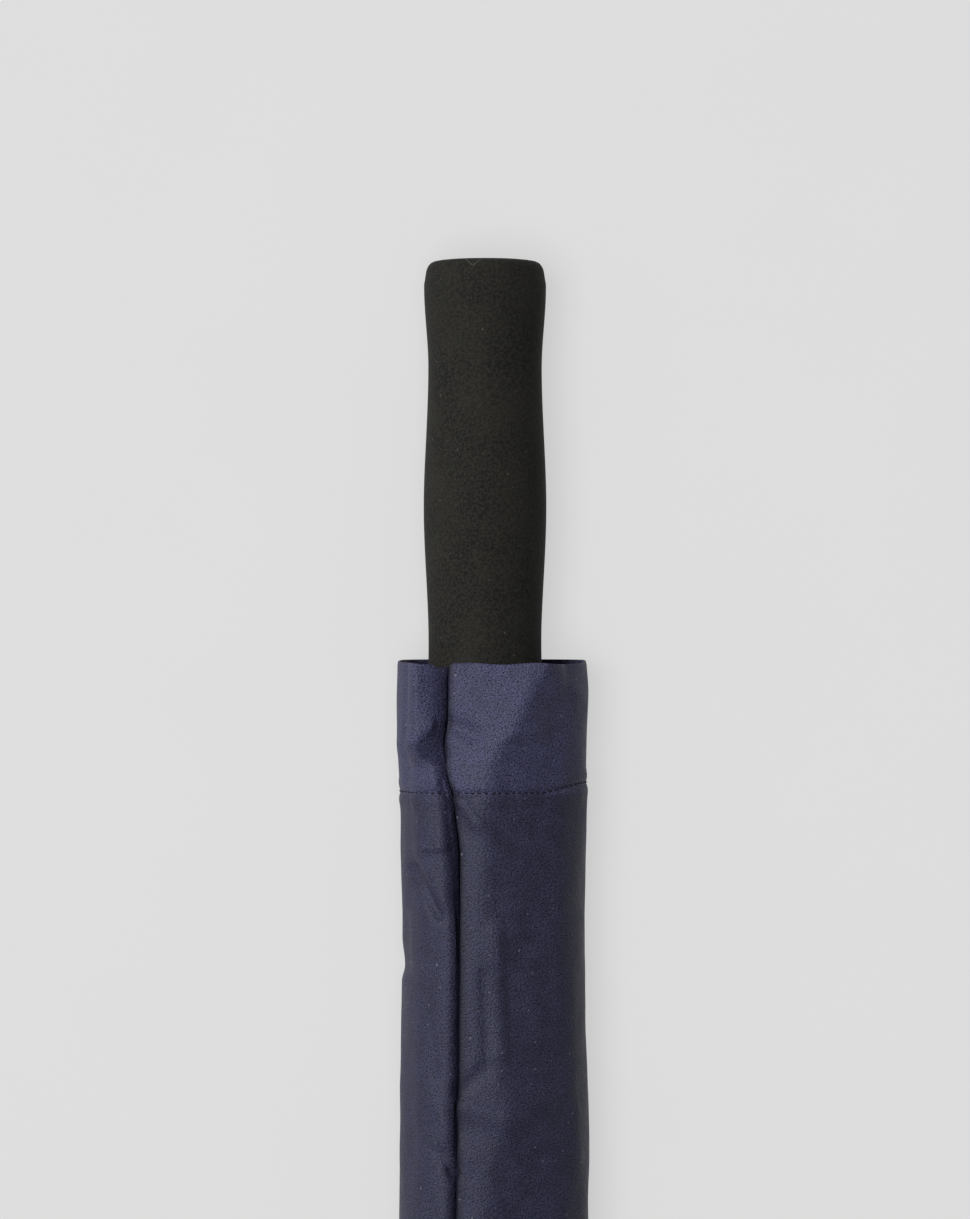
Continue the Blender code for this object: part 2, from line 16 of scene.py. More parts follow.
import bpy
import numpy as np
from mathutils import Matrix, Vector


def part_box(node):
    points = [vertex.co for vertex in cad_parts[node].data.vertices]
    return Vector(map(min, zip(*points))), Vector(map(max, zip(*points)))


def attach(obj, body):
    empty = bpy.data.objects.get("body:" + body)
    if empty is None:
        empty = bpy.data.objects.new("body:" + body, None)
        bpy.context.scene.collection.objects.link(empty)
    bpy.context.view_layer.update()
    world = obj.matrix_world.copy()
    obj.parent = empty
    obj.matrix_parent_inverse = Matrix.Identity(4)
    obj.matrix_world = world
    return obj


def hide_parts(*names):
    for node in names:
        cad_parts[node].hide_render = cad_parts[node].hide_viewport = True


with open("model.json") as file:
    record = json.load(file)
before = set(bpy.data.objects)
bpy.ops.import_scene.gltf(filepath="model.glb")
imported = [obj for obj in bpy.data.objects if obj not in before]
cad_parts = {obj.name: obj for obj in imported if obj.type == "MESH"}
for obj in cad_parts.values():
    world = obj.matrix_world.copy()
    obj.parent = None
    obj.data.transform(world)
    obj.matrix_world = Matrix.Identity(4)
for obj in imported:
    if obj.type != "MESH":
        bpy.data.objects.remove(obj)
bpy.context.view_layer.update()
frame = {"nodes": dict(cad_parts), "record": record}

LOG = logging.getLogger("umbrella")
MM = 0.001
TURN = 2.0 * math.pi
CLOTH_MAP = "cloth"

Colour = tuple[float, float, float]
Place = tuple[float, float, float]
Knots = tuple[tuple[float, float], ...]


class Body(Enum):
    """The bodies of the frame that the made pieces ride on."""

    UMBRELLA = "umbrella"
    SLEEVE = "sleeve"


class Slot(Enum):
    """The material slots of the record."""

    FOAM = "foam"
    SLEEVE_CLOTH = "sleeve_cloth"
    CANOPY_CLOTH = "canopy_cloth"
    BLACK_PLASTIC = "black_plastic"
    BLACK_NYLON = "black_nylon"
    SHAFT_PAINT = "shaft_paint"
    FRAME_PAINT = "frame_paint"
    GLASS_FIBRE = "glass_fibre"
    BRIGHT_STEEL = "bright_steel"
    STUD_METAL = "stud_metal"


def smooth(t: np.ndarray | float) -> np.ndarray:
    """An S-shaped ramp that is 0 below t = 0 and 1 above t = 1."""
    t = np.clip(t, 0.0, 1.0)
    return t * t * (3.0 - 2.0 * t)


def eased(at: np.ndarray | float, knots: Knots) -> np.ndarray:
    """Reads a smooth curve through a few knots.

    Args:
        at: Where to read it.
        knots: Pairs of place and value, in order of place.

    Returns:
        The values, level at each knot and beyond the ends.
    """
    at = np.asarray(at, float)
    places, values = (np.array(x, float) for x in zip(*knots))
    left = np.clip(np.searchsorted(places, at, side="right") - 1, 0, len(places) - 2)
    share = (at - places[left]) / (places[left + 1] - places[left])
    return values[left] + (values[left + 1] - values[left]) * smooth(share)


def hump(distance: np.ndarray, width: float) -> np.ndarray:
    """A soft bump that is 1 at distance 0 and fades over the width."""
    return np.exp(-((distance / width) ** 2))


def settle(piece: bpy.types.Object, body: Body, slot: Slot, stands_for: str = "") -> None:
    """Puts a made piece on its body and in a node's place.

    Args:
        piece: The made piece.
        body: The body that it rides on.
        slot: Not used.
        stands_for: The node that it replaces, or nothing.
    """
    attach(piece, body.value)
    if stands_for:
        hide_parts(stands_for)


@dataclass
class Graph:
    """Builds one material's nodes with few words.

    Attributes:
        name: The material's name.
    """

    name: str

    def __post_init__(self) -> None:
        """Makes the material with a bare Principled shader."""
        self.material = bpy.data.materials.new(self.name)
        self.material.use_nodes = True
        self.tree = self.material.node_tree
        self.tree.nodes.clear()
        self.output = self.tree.nodes.new("ShaderNodeOutputMaterial")
        self.shader = self.tree.nodes.new("ShaderNodeBsdfPrincipled")
        self.join(self.shader.outputs[0], self.output.inputs["Surface"])

    def node(self, kind: str, **settings: object) -> bpy.types.Node:
        """Adds a node and sets its properties.

        Args:
            kind: The node's type.
            settings: Its properties by name.

        Returns:
            The node.
        """
        made = self.tree.nodes.new(kind)
        for key, value in settings.items():
            setattr(made, key, value)
        return made

    def join(self, source: bpy.types.NodeSocket, target: bpy.types.NodeSocket) -> None:
        """Links an output to an input."""
        self.tree.links.new(source, target)

    def feed(self, target: bpy.types.NodeSocket, value: object) -> None:
        """Sets an input, or links it if the value is an output.

        Args:
            target: The input.
            value: A number, a colour, a vector or an output.
        """
        if isinstance(value, bpy.types.NodeSocket):
            self.join(value, target)
        else:
            target.default_value = value

    def math(self, kind: str, *values: object) -> bpy.types.NodeSocket:
        """Adds a sum of one, two or three values.

        Args:
            kind: The sum's name.
            values: Numbers or outputs.

        Returns:
            The result's socket.
        """
        made = self.node("ShaderNodeMath", operation=kind)
        for target, value in zip(made.inputs, values):
            self.feed(target, value)
        return made.outputs[0]

    def place(self) -> bpy.types.NodeSocket:
        """The surface's own place on the piece, in metres."""
        return self.node("ShaderNodeTexCoord").outputs["Object"]

    def cloth(self) -> bpy.types.NodeSocket:
        """The place on the flat cloth, in metres."""
        return self.node("ShaderNodeUVMap", uv_map=CLOTH_MAP).outputs[0]

    def noise(
        self, place: object, grain: float, detail: float = 2.0, rough: float = 0.5
    ) -> bpy.types.NodeSocket:
        """A soft random value.

        Args:
            place: Where it is read.
            grain: The size of its patches, in metres.
            detail: How many finer layers it has.
            rough: How strong the finer layers are.

        Returns:
            The value's socket, from 0 to 1 and mostly near 0.5.
        """
        made = self.node("ShaderNodeTexNoise")
        self.feed(made.inputs["Vector"], place)
        made.inputs["Scale"].default_value = 1.0 / grain
        made.inputs["Detail"].default_value = detail
        made.inputs["Roughness"].default_value = rough
        return made.outputs["Fac"]

    def ramp(
        self, value: object, low: float, high: float, to: tuple[float, float] = (0, 1)
    ) -> bpy.types.NodeSocket:
        """Turns a value from low to high into one between the two given.

        Args:
            value: The value that is read.
            low: Where it starts to rise.
            high: Where it stops rising.
            to: The results at low and at high.

        Returns:
            The result's socket.
        """
        made = self.node("ShaderNodeMapRange", interpolation_type="SMOOTHSTEP")
        for key, number in zip((1, 2, 3, 4), (low, high, *to)):
            made.inputs[key].default_value = number
        self.feed(made.inputs[0], value)
        return made.outputs[0]

    def mix(self, share: object, a: object, b: object) -> bpy.types.NodeSocket:
        """Mixes two colours.

        Args:
            share: How much of the second there is.
            a: The first colour.
            b: The second colour.

        Returns:
            The colour's socket.
        """
        made = self.node("ShaderNodeMix", data_type="RGBA")
        for key, value in ((0, share), (6, a), (7, b)):
            if isinstance(value, tuple):
                value = (*value, 1.0)
            self.feed(made.inputs[key], value)
        return made.outputs[2]

    def bump(
        self, height: object, depth: float, strength: float = 1.0, under: object = None
    ) -> bpy.types.NodeSocket:
        """A relief from a height.

        Args:
            height: The value that is the relief, from 0 to 1.
            depth: How deep a value of 1 is, in metres.
            strength: How strongly it turns the light.
            under: Another relief that this one lies on.

        Returns:
            The normal's socket.
        """
        made = self.node("ShaderNodeBump")
        made.inputs["Strength"].default_value = strength
        made.inputs["Distance"].default_value = depth
        self.feed(made.inputs["Height"], height)
        if under is not None:
            self.feed(made.inputs["Normal"], under)
        return made.outputs[0]

    def surface(self, **inputs: object) -> None:
        """Sets the shader's inputs, named in lower case with underscores.

        Args:
            inputs: Numbers, colours or outputs by the input's name.
        """
        for key, value in inputs.items():
            if isinstance(value, tuple):
                value = (*value, 1.0)
            title = key.replace("_", " ").title().replace("Ior", "IOR")
            self.feed(self.shader.inputs[title], value)


@dataclass(frozen=True)
class ClothFinish:
    """Tightly woven polyester, with uneven threads, cloudy dye, some lint and, where asked, painted
    shade beside the pleat's lip.

    Attributes:
        name: The material's name.
        deep: The colour in the weave's hollows.
        high: The colour of the threads' tops.
        tint: A second shade that comes and goes from thread to thread.
        pitch: The distance from thread to thread, in metres.
        rough: How dull the threads are.
        sheen: How much light the fuzz throws back at a grazing angle.
        relief: How deep the weave is, in metres.
        doubled: How far down the cloth is brighter; below that it is darker.
        fold: How far from the pleat's edge the cloth is darkened, as painted shade of the crevice
            beside the lip.
        hem_shades: The brightness factor above and below that line.
    """

    name: str
    deep: Colour
    high: Colour
    tint: Colour
    pitch: float = 0.00042
    rough: float = 0.6
    sheen: float = 0.0
    relief: float = 0.00004
    doubled: float = 0.0
    fold: float = 0.0
    hem_shades: tuple[float, float] = (1.14, 0.68)

    def material(self) -> bpy.types.Material:
        """Builds the material."""
        g = Graph(self.name)
        cloth = g.cloth()
        split = g.node("ShaderNodeSeparateXYZ")
        g.join(cloth, split.inputs[0])
        side, down = split.outputs[:2]
        across = g.math("MULTIPLY", side, math.pi / self.pitch)
        along = g.math("MULTIPLY", down, math.pi / self.pitch)
        weave = g.math("MULTIPLY", g.math("SINE", across), g.math("SINE", along))
        weave = g.math("MULTIPLY_ADD", weave, 0.5, 0.5)
        slub = g.noise(cloth, 0.00042, 1.0, 0.6)
        cloud = g.noise(cloth, 0.006, 4.0, 0.65)
        thread = g.ramp(g.math("ADD", g.math("MULTIPLY", weave, 0.1), slub), 0.44, 0.62)
        colour = g.mix(thread, self.deep, self.high)
        fleck = g.ramp(g.noise(cloth, 0.00055, 1.0), 0.48, 0.6)
        colour = g.mix(g.math("MULTIPLY", fleck, 0.5), colour, self.tint)
        shade = g.ramp(cloud, 0.3, 0.7, (0.82, 1.16))
        # The cloth is made brighter above the hem's stitch line and darker below it.
        if self.doubled:
            edge = g.ramp(down, self.doubled, self.doubled + 0.0008, self.hem_shades)
            shade = g.math("MULTIPLY", shade, edge)
        # Painted shade: the cloth just right of the pleat's lip is darkened to stand for the shade
        # in the crevice.
        if self.fold:
            painted_lip_shade = g.ramp(side, 0.0002, self.fold, (0.35, 1.0))
            shade = g.math("MULTIPLY", shade, painted_lip_shade)
        bright = g.node("ShaderNodeVectorMath", operation="SCALE")
        g.join(colour, bright.inputs[0])
        g.join(shade, bright.inputs["Scale"])
        lint = g.ramp(g.noise(cloth, 0.0013, 0.0), 0.8, 0.84)
        colour = g.mix(g.math("MULTIPLY", lint, 0.4), bright.outputs[0], (0.2, 0.2, 0.26))
        relief = g.bump(weave, self.relief, 0.8)
        relief = g.bump(g.noise(cloth, 0.0008, 2.0, 0.65), 0.0004, 0.85, relief)
        relief = g.bump(g.noise(cloth, 0.0045, 3.0, 0.6), 0.0007, 0.35, relief)
        g.surface(
            base_color=colour,
            roughness=g.ramp(cloud, 0.3, 0.7, (self.rough - 0.05, self.rough + 0.05)),
            sheen_weight=self.sheen,
            sheen_roughness=0.45,
            specular_ior_level=0.34,
            normal=relief,
        )
        g.shader.inputs["Specular Tint"].default_value = (0.88, 0.9, 1.0, 1.0)
        return g.material


@dataclass(frozen=True)
class FoamFinish:
    """Matt closed-cell foam with fine pores, pale specks and a scratch.

    Attributes:
        name: The material's name.
        deep: The colour in the pores.
        high: The colour of the skin.
        scratch: One end, the corner and the other end of a V-shaped scratch,
            as places in the frame seen from above, or nothing.
        axis: The height of the grip's middle, over which the scratch lies.
    """

    name: str
    deep: Colour
    high: Colour
    scratch: Knots = ()
    axis: float = 0.024

    def _scratched(self, g: Graph, place: bpy.types.NodeSocket) -> object:
        """How near a point is to the scratch.

        Args:
            g: The material's graph.
            place: The point.

        Returns:
            A socket that is 1 on the scratch and 0 off it.
        """
        split = g.node("ShaderNodeSeparateXYZ")
        g.join(place, split.inputs[0])
        best: object = 0.0
        for (x0, y0), (x1, y1) in zip(self.scratch, self.scratch[1:]):
            long = math.hypot(x1 - x0, y1 - y0)
            a, b = (x1 - x0) / long, (y1 - y0) / long
            dx = g.math("SUBTRACT", split.outputs[0], x0)
            dy = g.math("SUBTRACT", split.outputs[1], y0)
            run = g.math("ADD", g.math("MULTIPLY", dx, a), g.math("MULTIPLY", dy, b))
            off = g.math("SUBTRACT", g.math("MULTIPLY", dx, b), g.math("MULTIPLY", dy, a))
            near = g.ramp(g.math("ABSOLUTE", off), 0.00008, 0.00026, (1, 0))
            inside = g.ramp(
                g.math("ABSOLUTE", g.math("SUBTRACT", run, long / 2)),
                long / 2 - 0.0001,
                long / 2 + 0.0002,
                (1, 0),
            )
            best = g.math("MAXIMUM", best, g.math("MULTIPLY", near, inside))
        above = g.math("GREATER_THAN", split.outputs[2], self.axis)
        return g.math("MULTIPLY", best, above)

    def material(self) -> bpy.types.Material:
        """Builds the material."""
        g = Graph(self.name)
        place = g.place()
        pores = g.noise(place, 0.0007, 2.0, 0.7)
        cloud = g.noise(place, 0.014, 2.0)
        colour = g.mix(g.ramp(pores, 0.34, 0.66), self.deep, self.high)
        colour = g.mix(
            g.math("MULTIPLY", g.ramp(cloud, 0.35, 0.7), 0.3),
            colour,
            tuple(1.25 * c for c in self.high),
        )
        cells = g.node("ShaderNodeTexVoronoi", feature="F1")
        cells.inputs["Scale"].default_value = 1 / 0.0032
        g.join(place, cells.inputs["Vector"])
        speck = g.ramp(cells.outputs["Distance"], 0.04, 0.09, (1, 0))
        some = g.ramp(g.noise(place, 0.006, 1.0), 0.46, 0.56)
        colour = g.mix(
            g.math("MULTIPLY", g.math("MULTIPLY", speck, some), 0.5),
            colour,
            (0.16, 0.155, 0.14),
        )
        relief = g.bump(pores, 0.00035, 0.55)
        relief = g.bump(g.noise(place, 0.005, 2.0), 0.0006, 0.25, relief)
        if self.scratch:
            mark = self._scratched(g, place)
            colour = g.mix(g.math("MULTIPLY", mark, 0.4), colour, (0.12, 0.115, 0.1))
            relief = g.bump(g.math("SUBTRACT", 1.0, mark), 0.0003, 0.9, relief)
        g.surface(
            base_color=colour, roughness=0.88, specular_ior_level=0.3, normal=relief
        )
        return g.material


@dataclass(frozen=True)
class HardFinish:
    """Moulded, painted or plated stuff with fine grain and handling wear.

    Attributes:
        name: The material's name.
        colour: Its main colour.
        worn: The colour where it is rubbed.
        rough: How dull it is.
        metal: 1 for bare metal.
        grain: The size of the surface's fine relief, in metres.
        relief: How deep that is, in metres.
        coat: How much clear lacquer lies over it.
        streak: How much longer the grain is along the shaft than across it.
    """

    name: str
    colour: Colour
    worn: Colour
    rough: float
    metal: float = 0.0
    grain: float = 0.0008
    relief: float = 0.00004
    coat: float = 0.0
    streak: float = 1.0

    def material(self) -> bpy.types.Material:
        """Builds the material."""
        g = Graph(self.name)
        stretched = g.node("ShaderNodeVectorMath", operation="MULTIPLY")
        g.join(g.place(), stretched.inputs[0])
        stretched.inputs[1].default_value = (1.0, 1.0 / self.streak, 1.0)
        place = stretched.outputs[0]
        fine = g.noise(place, self.grain, 3.0, 0.6)
        patch = g.noise(place, 0.012, 3.0, 0.6)
        colour = g.mix(g.ramp(patch, 0.5, 0.8), self.colour, self.worn)
        scuff = g.ramp(fine, 0.45, 0.75, (self.rough - 0.06, self.rough + 0.08))
        g.surface(
            base_color=colour,
            metallic=self.metal,
            roughness=scuff,
            coat_weight=self.coat,
            normal=g.bump(fine, self.relief, 0.4),
        )
        return g.material


SLEEVE_CLOTH = ClothFinish(
    "SleeveCloth",
    (0.0006, 0.001, 0.006),
    (0.0515, 0.0545, 0.111),
    (0.053, 0.0415, 0.101),
    doubled=0.1523,
    # fold paints the crevice shade beside the pleat's lip into the colour.
    fold=0.0028,
)
CANOPY_CLOTH = ClothFinish(
    "CanopyCloth",
    (0.014, 0.016, 0.03),
    (0.036, 0.04, 0.07),
    (0.03, 0.034, 0.07),
    pitch=0.0003,
    rough=0.42,
    sheen=0.15,
    relief=0.00005,
)
# Navy thread, partly its own colour and partly painted shade: made near black to carry the shade in
# the stitch grooves.
SHADED_THREAD = ClothFinish(
    "ShadedThread",
    (0.0008, 0.0008, 0.003),
    (0.004, 0.004, 0.011),
    (0.005, 0.004, 0.012),
)
GRIP_FOAM = FoamFinish(
    "GripFoam",
    (0.0012, 0.0011, 0.0008),
    (0.0168, 0.0159, 0.0124),
    scratch=((-0.0079, 0.4844), (-0.0059, 0.4824), (-0.0033, 0.4846)),
)
HARD_FINISHES: dict[Slot, HardFinish] = {
    Slot.BLACK_PLASTIC: HardFinish(
        "BlackPlastic", (0.017, 0.017, 0.018), (0.03, 0.03, 0.03), 0.46
    ),
    Slot.BLACK_NYLON: HardFinish(
        "BlackNylon", (0.024, 0.024, 0.026), (0.036, 0.036, 0.038), 0.38, grain=0.0006
    ),
    Slot.SHAFT_PAINT: HardFinish(
        "ShaftEnamel", (0.016, 0.016, 0.018), (0.026, 0.026, 0.028), 0.28, coat=0.3, streak=9.0
    ),
    Slot.FRAME_PAINT: HardFinish(
        "FramePaint", (0.02, 0.02, 0.023), (0.05, 0.05, 0.05), 0.34, coat=0.15, streak=5.0
    ),
    Slot.GLASS_FIBRE: HardFinish(
        "GlassFibre", (0.015, 0.015, 0.017), (0.03, 0.031, 0.034), 0.22, coat=0.5, streak=40.0
    ),
    Slot.BRIGHT_STEEL: HardFinish(
        "BrightSteel", (0.55, 0.55, 0.56), (0.42, 0.41, 0.4), 0.26, metal=1.0, streak=14.0
    ),
    Slot.STUD_METAL: HardFinish(
        "NickelPlate", (0.62, 0.61, 0.6), (0.5, 0.48, 0.45), 0.18, metal=1.0
    ),
}


@dataclass
class Bench:
    """Turns the umbrella's own measures into places in the frame.

    The umbrella's measures are millimetres: side from its middle line,
    distance down from the grip's end, and height over the floor.

    Attributes:
        end: Where the grip's end lies in the frame, in metres.
        axis_side: The side of the umbrella's axis.
        axis_height: The height of that axis.
    """

    end: float = field(init=False)
    axis_side: float = field(init=False)
    axis_height: float = field(init=False)

    def __post_init__(self) -> None:
        """Reads where the grip lies."""
        low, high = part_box("foam_grip")
        self.end = high.y
        self.axis_side = (low.x + high.x) / 2 / MM
        self.axis_height = (low.z + high.z) / 2 / MM

    def place(self, side: np.ndarray, down: np.ndarray, height: np.ndarray) -> np.ndarray:
        """Gives the points in the frame, in metres.

        Args:
            side: How far right of the sleeve's middle line they are.
            down: How far from the grip's end.
            height: How far over the floor.

        Returns:
            The points, with x, y and z last.
        """
        side, down, height = np.broadcast_arrays(side, down, height)
        return np.stack([side * MM, self.end - down * MM, height * MM], axis=-1)

    def round(self, radius: np.ndarray, angle: np.ndarray, down: np.ndarray) -> np.ndarray:
        """Gives points round the umbrella's axis; angle 0 is straight up.

        Args:
            radius: Their distance from the axis.
            angle: How far round they are.
            down: How far from the grip's end.

        Returns:
            The points, with x, y and z last.
        """
        return self.place(
            self.axis_side + radius * np.sin(angle),
            down,
            self.axis_height + radius * np.cos(angle),
        )

    def down(self, node: str) -> tuple[float, float]:
        """How far down a node starts and ends, in millimetres."""
        low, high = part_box(node)
        return (self.end - high.y) / MM, (self.end - low.y) / MM


@dataclass
class Mesh:
    """Collects points and faces, with a place on the flat cloth for each."""

    points: list[np.ndarray] = field(default_factory=list)
    faces: list[tuple[int, ...]] = field(default_factory=list)
    flat: list[tuple[tuple[float, float], ...]] = field(default_factory=list)
    count: int = 0

    def add(self, points: np.ndarray) -> int:
        """Adds points and gives the first one's number.

        Args:
            points: Places in the frame, in metres.

        Returns:
            The number of the first of them.
        """
        start = self.count
        self.points.append(np.asarray(points, float).reshape(-1, 3))
        self.count += len(self.points[-1])
        return start

    def grid(
        self,
        points: np.ndarray,
        flat: np.ndarray | None = None,
        ring: bool = False,
        flip: bool = False,
    ) -> int:
        """Adds a net of points and its four-sided faces.

        Args:
            points: The net, rows by columns by three.
            flat: Each point's place on the flat cloth; a ring has one more
                column here than in its points.
            ring: Whether the last column joins the first.
            flip: Whether the faces look the other way.

        Returns:
            The first point's number.
        """
        rows, columns = points.shape[:2]
        start = self.add(points)
        for i in range(rows - 1):
            for j in range(columns if ring else columns - 1):
                k = (j + 1) % columns
                corners = [(i, j, j), (i + 1, j, j), (i + 1, k, j + 1), (i, k, j + 1)]
                if flip:
                    corners.reverse()
                self.faces.append(tuple(start + a * columns + b for a, b, _ in corners))
                if flat is not None:
                    self.flat.append(tuple(tuple(flat[a, c]) for a, _, c in corners))
                else:
                    self.flat.append(((0.0, 0.0),) * 4)
        return start

    def face(self, numbers: list[int]) -> None:
        """Adds one face between points that are there."""
        self.faces.append(tuple(numbers))
        self.flat.append(((0.0, 0.0),) * len(numbers))

    def cap(self, first: int, columns: int, flip: bool = False) -> None:
        """Closes the end of a tube whose last ring starts at a point."""
        ring = list(range(first, first + columns))
        self.face(ring[::-1] if flip else ring)

    def bridge(self, last: int, first: int, columns: int) -> None:
        """Joins two rings of points with a band of faces.

        Args:
            last: The first point's number in one ring.
            first: The same in the other ring.
            columns: How many points each ring has.
        """
        for j in range(columns):
            k = (j + 1) % columns
            self.face([last + j, first + j, first + k, last + k])

    def build(self, name: str, finish: bpy.types.Material) -> bpy.types.Object:
        """Makes the object.

        Args:
            name: The piece's name.
            finish: Its material.

        Returns:
            The object, smooth shaded.
        """
        data = bpy.data.meshes.new(name)
        data.from_pydata(np.concatenate(self.points).tolist(), [], self.faces)
        layer = data.uv_layers.new(name=CLOTH_MAP)
        layer.data.foreach_set("uv", np.array([c for f in self.flat for p in f for c in p]))
        data.polygons.foreach_set("use_smooth", [True] * len(data.polygons))
        data.materials.append(finish)
        data.validate()
        made = bpy.data.objects.new(name, data)
        bpy.context.scene.collection.objects.link(made)
        return made


@dataclass
class Stitching:
    """A run of sewn stitches, each a short bent length of thread.

    Attributes:
        name: The piece's name.
        pitch: From one stitch to the next, in millimetres.
        bite: How long the thread shows, in millimetres.
        thick: The thread's diameter, in millimetres.
        points: How many points a stitch has along it, and round it.
    """

    name: str
    pitch: float = 2.0
    bite: float = 1.6
    thick: float = 0.5
    points: int = 6

    def build(
        self,
        runs: list[tuple[np.ndarray, np.ndarray]],
        finish: bpy.types.Material,
    ) -> bpy.types.Object:
        """Sews along the given lines.

        Args:
            runs: For each line its points and the directions that stand out
                from the cloth there, in metres.
            finish: The thread's material.

        Returns:
            The thread as one object.
        """
        mesh = Mesh()
        rng = np.random.default_rng(7)
        for line, out in runs:
            steps = np.linalg.norm(np.diff(line, axis=0), axis=1)
            along = np.concatenate([[0.0], np.cumsum(steps)])
            for k in range(int(along[-1] / (self.pitch * MM))):
                start = (k + 0.2 + rng.uniform(-0.06, 0.06)) * self.pitch * MM
                at = start + np.linspace(0, 1, self.points) * self.bite * MM
                middle, away = (
                    np.stack([np.interp(at, along, given[:, i]) for i in range(3)], 1)
                    for given in (line, out)
                )
                away /= np.linalg.norm(away, axis=1)[:, None]
                arch = np.sin(np.linspace(0, math.pi, self.points))
                lift = (arch * 0.62 - 0.4) * self.thick * MM
                self._thread(mesh, middle + away * lift[:, None], away, arch)
        return mesh.build(self.name, finish)

    def _thread(
        self, mesh: Mesh, middle: np.ndarray, away: np.ndarray, arch: np.ndarray
    ) -> None:
        """Adds one stitch.

        Args:
            mesh: Where it goes.
            middle: The points along its middle.
            away: The direction out of the cloth at each.
            arch: 0 at its ends and 1 in the middle.
        """
        ahead = np.gradient(middle, axis=0)
        ahead /= np.linalg.norm(ahead, axis=1)[:, None]
        side = np.cross(ahead, away)
        angle = np.arange(self.points) / self.points * TURN
        radius = self.thick / 2 * MM * (0.45 + 0.55 * np.sqrt(arch))
        rings = middle[:, None] + radius[:, None, None] * (
            np.cos(angle)[None, :, None] * side[:, None]
            + np.sin(angle)[None, :, None] * away[:, None]
        )
        first = mesh.grid(rings, ring=True)
        mesh.cap(first, self.points)
        mesh.cap(first + (self.points - 1) * self.points, self.points, flip=True)


@dataclass
class FoamGrip:
    """The straight foam grip, with its two shallow waists and soft end.

    Attributes:
        shoulder: Distance down and radius of its rounded end.
        waves: The same of its swells and waists.
        bore: The radius of the hole for the tube.
        girth: Its usual radius.
        segments: How many points go round it.
        dents: How many shallow dents its skin has.
    """

    shoulder: Knots = (
        (0.1, 11.5), (0.3, 13.4), (0.55, 14.7), (0.85, 15.35), (1.2, 15.8), (1.75, 16.25),
        (2.4, 16.6), (3.2, 16.86), (4.4, 17.06), (6.0, 17.3),
    )
    waves: Knots = (
        (0.0, 17.3), (8.0, 17.5), (31.0, 16.28), (71.0, 17.6), (110.0, 16.2), (146.0, 17.1),
        (168.0, 16.4),
    )
    bore: float = 10.35
    girth: float = 17.0
    segments: int = 144
    dents: int = 26

    def _outline(self) -> np.ndarray:
        """Radius and distance down, from the bore round the outside and back.

        Returns:
            The outline's points in order.
        """
        length = self.waves[-1][0]
        rim = [(self.bore, 0.9), (self.bore + 0.1, 0.35), (self.bore + 0.5, 0.08)]
        bend = [(r, d) for d, r in self.shoulder]
        body = np.linspace(self.shoulder[-1][0] + 0.9, length - 1.6, 185)
        skin = [(float(eased(d, self.waves)), d) for d in body]
        tail = float(eased(length, self.waves))
        back = [(tail - 0.25, length - 0.6), (tail - 1.1, length - 0.05), (13.0, length)]
        inside = [(self.bore, length - 0.4), (self.bore, length / 2)]
        return np.array(rim + bend + skin + back + inside)

    def build(self, bench: Bench, finish: bpy.types.Material) -> bpy.types.Object:
        """Turns the grip and puts it on its tube.

        Args:
            bench: Where the umbrella lies.
            finish: The foam's material.

        Returns:
            The grip.
        """
        outline = self._outline()
        angle = np.arange(self.segments) / self.segments * TURN
        radius, down = outline[:, 0][:, None], outline[:, 1][:, None]
        rng = np.random.default_rng(3)
        dent = np.zeros((len(outline), self.segments))
        for _ in range(self.dents):
            a, d = rng.uniform(0, TURN), rng.uniform(8, 160)
            wide, deep = rng.uniform(2.5, 8.0), rng.uniform(-0.1, 0.06)
            off = np.abs((angle - a + math.pi) % TURN - math.pi) * self.girth
            dent += deep * hump(np.hypot(off[None, :], down - d), wide)
        dent *= radius > self.bore + 3.0
        mesh = Mesh()
        first = mesh.grid(bench.round(radius + dent, angle[None, :], down), ring=True)
        last = first + (len(outline) - 1) * self.segments
        mesh.bridge(last, first, self.segments)
        grip = mesh.build("soft_foam_grip", finish)
        settle(grip, Body.UMBRELLA, Slot.FOAM, "foam_grip")
        return grip


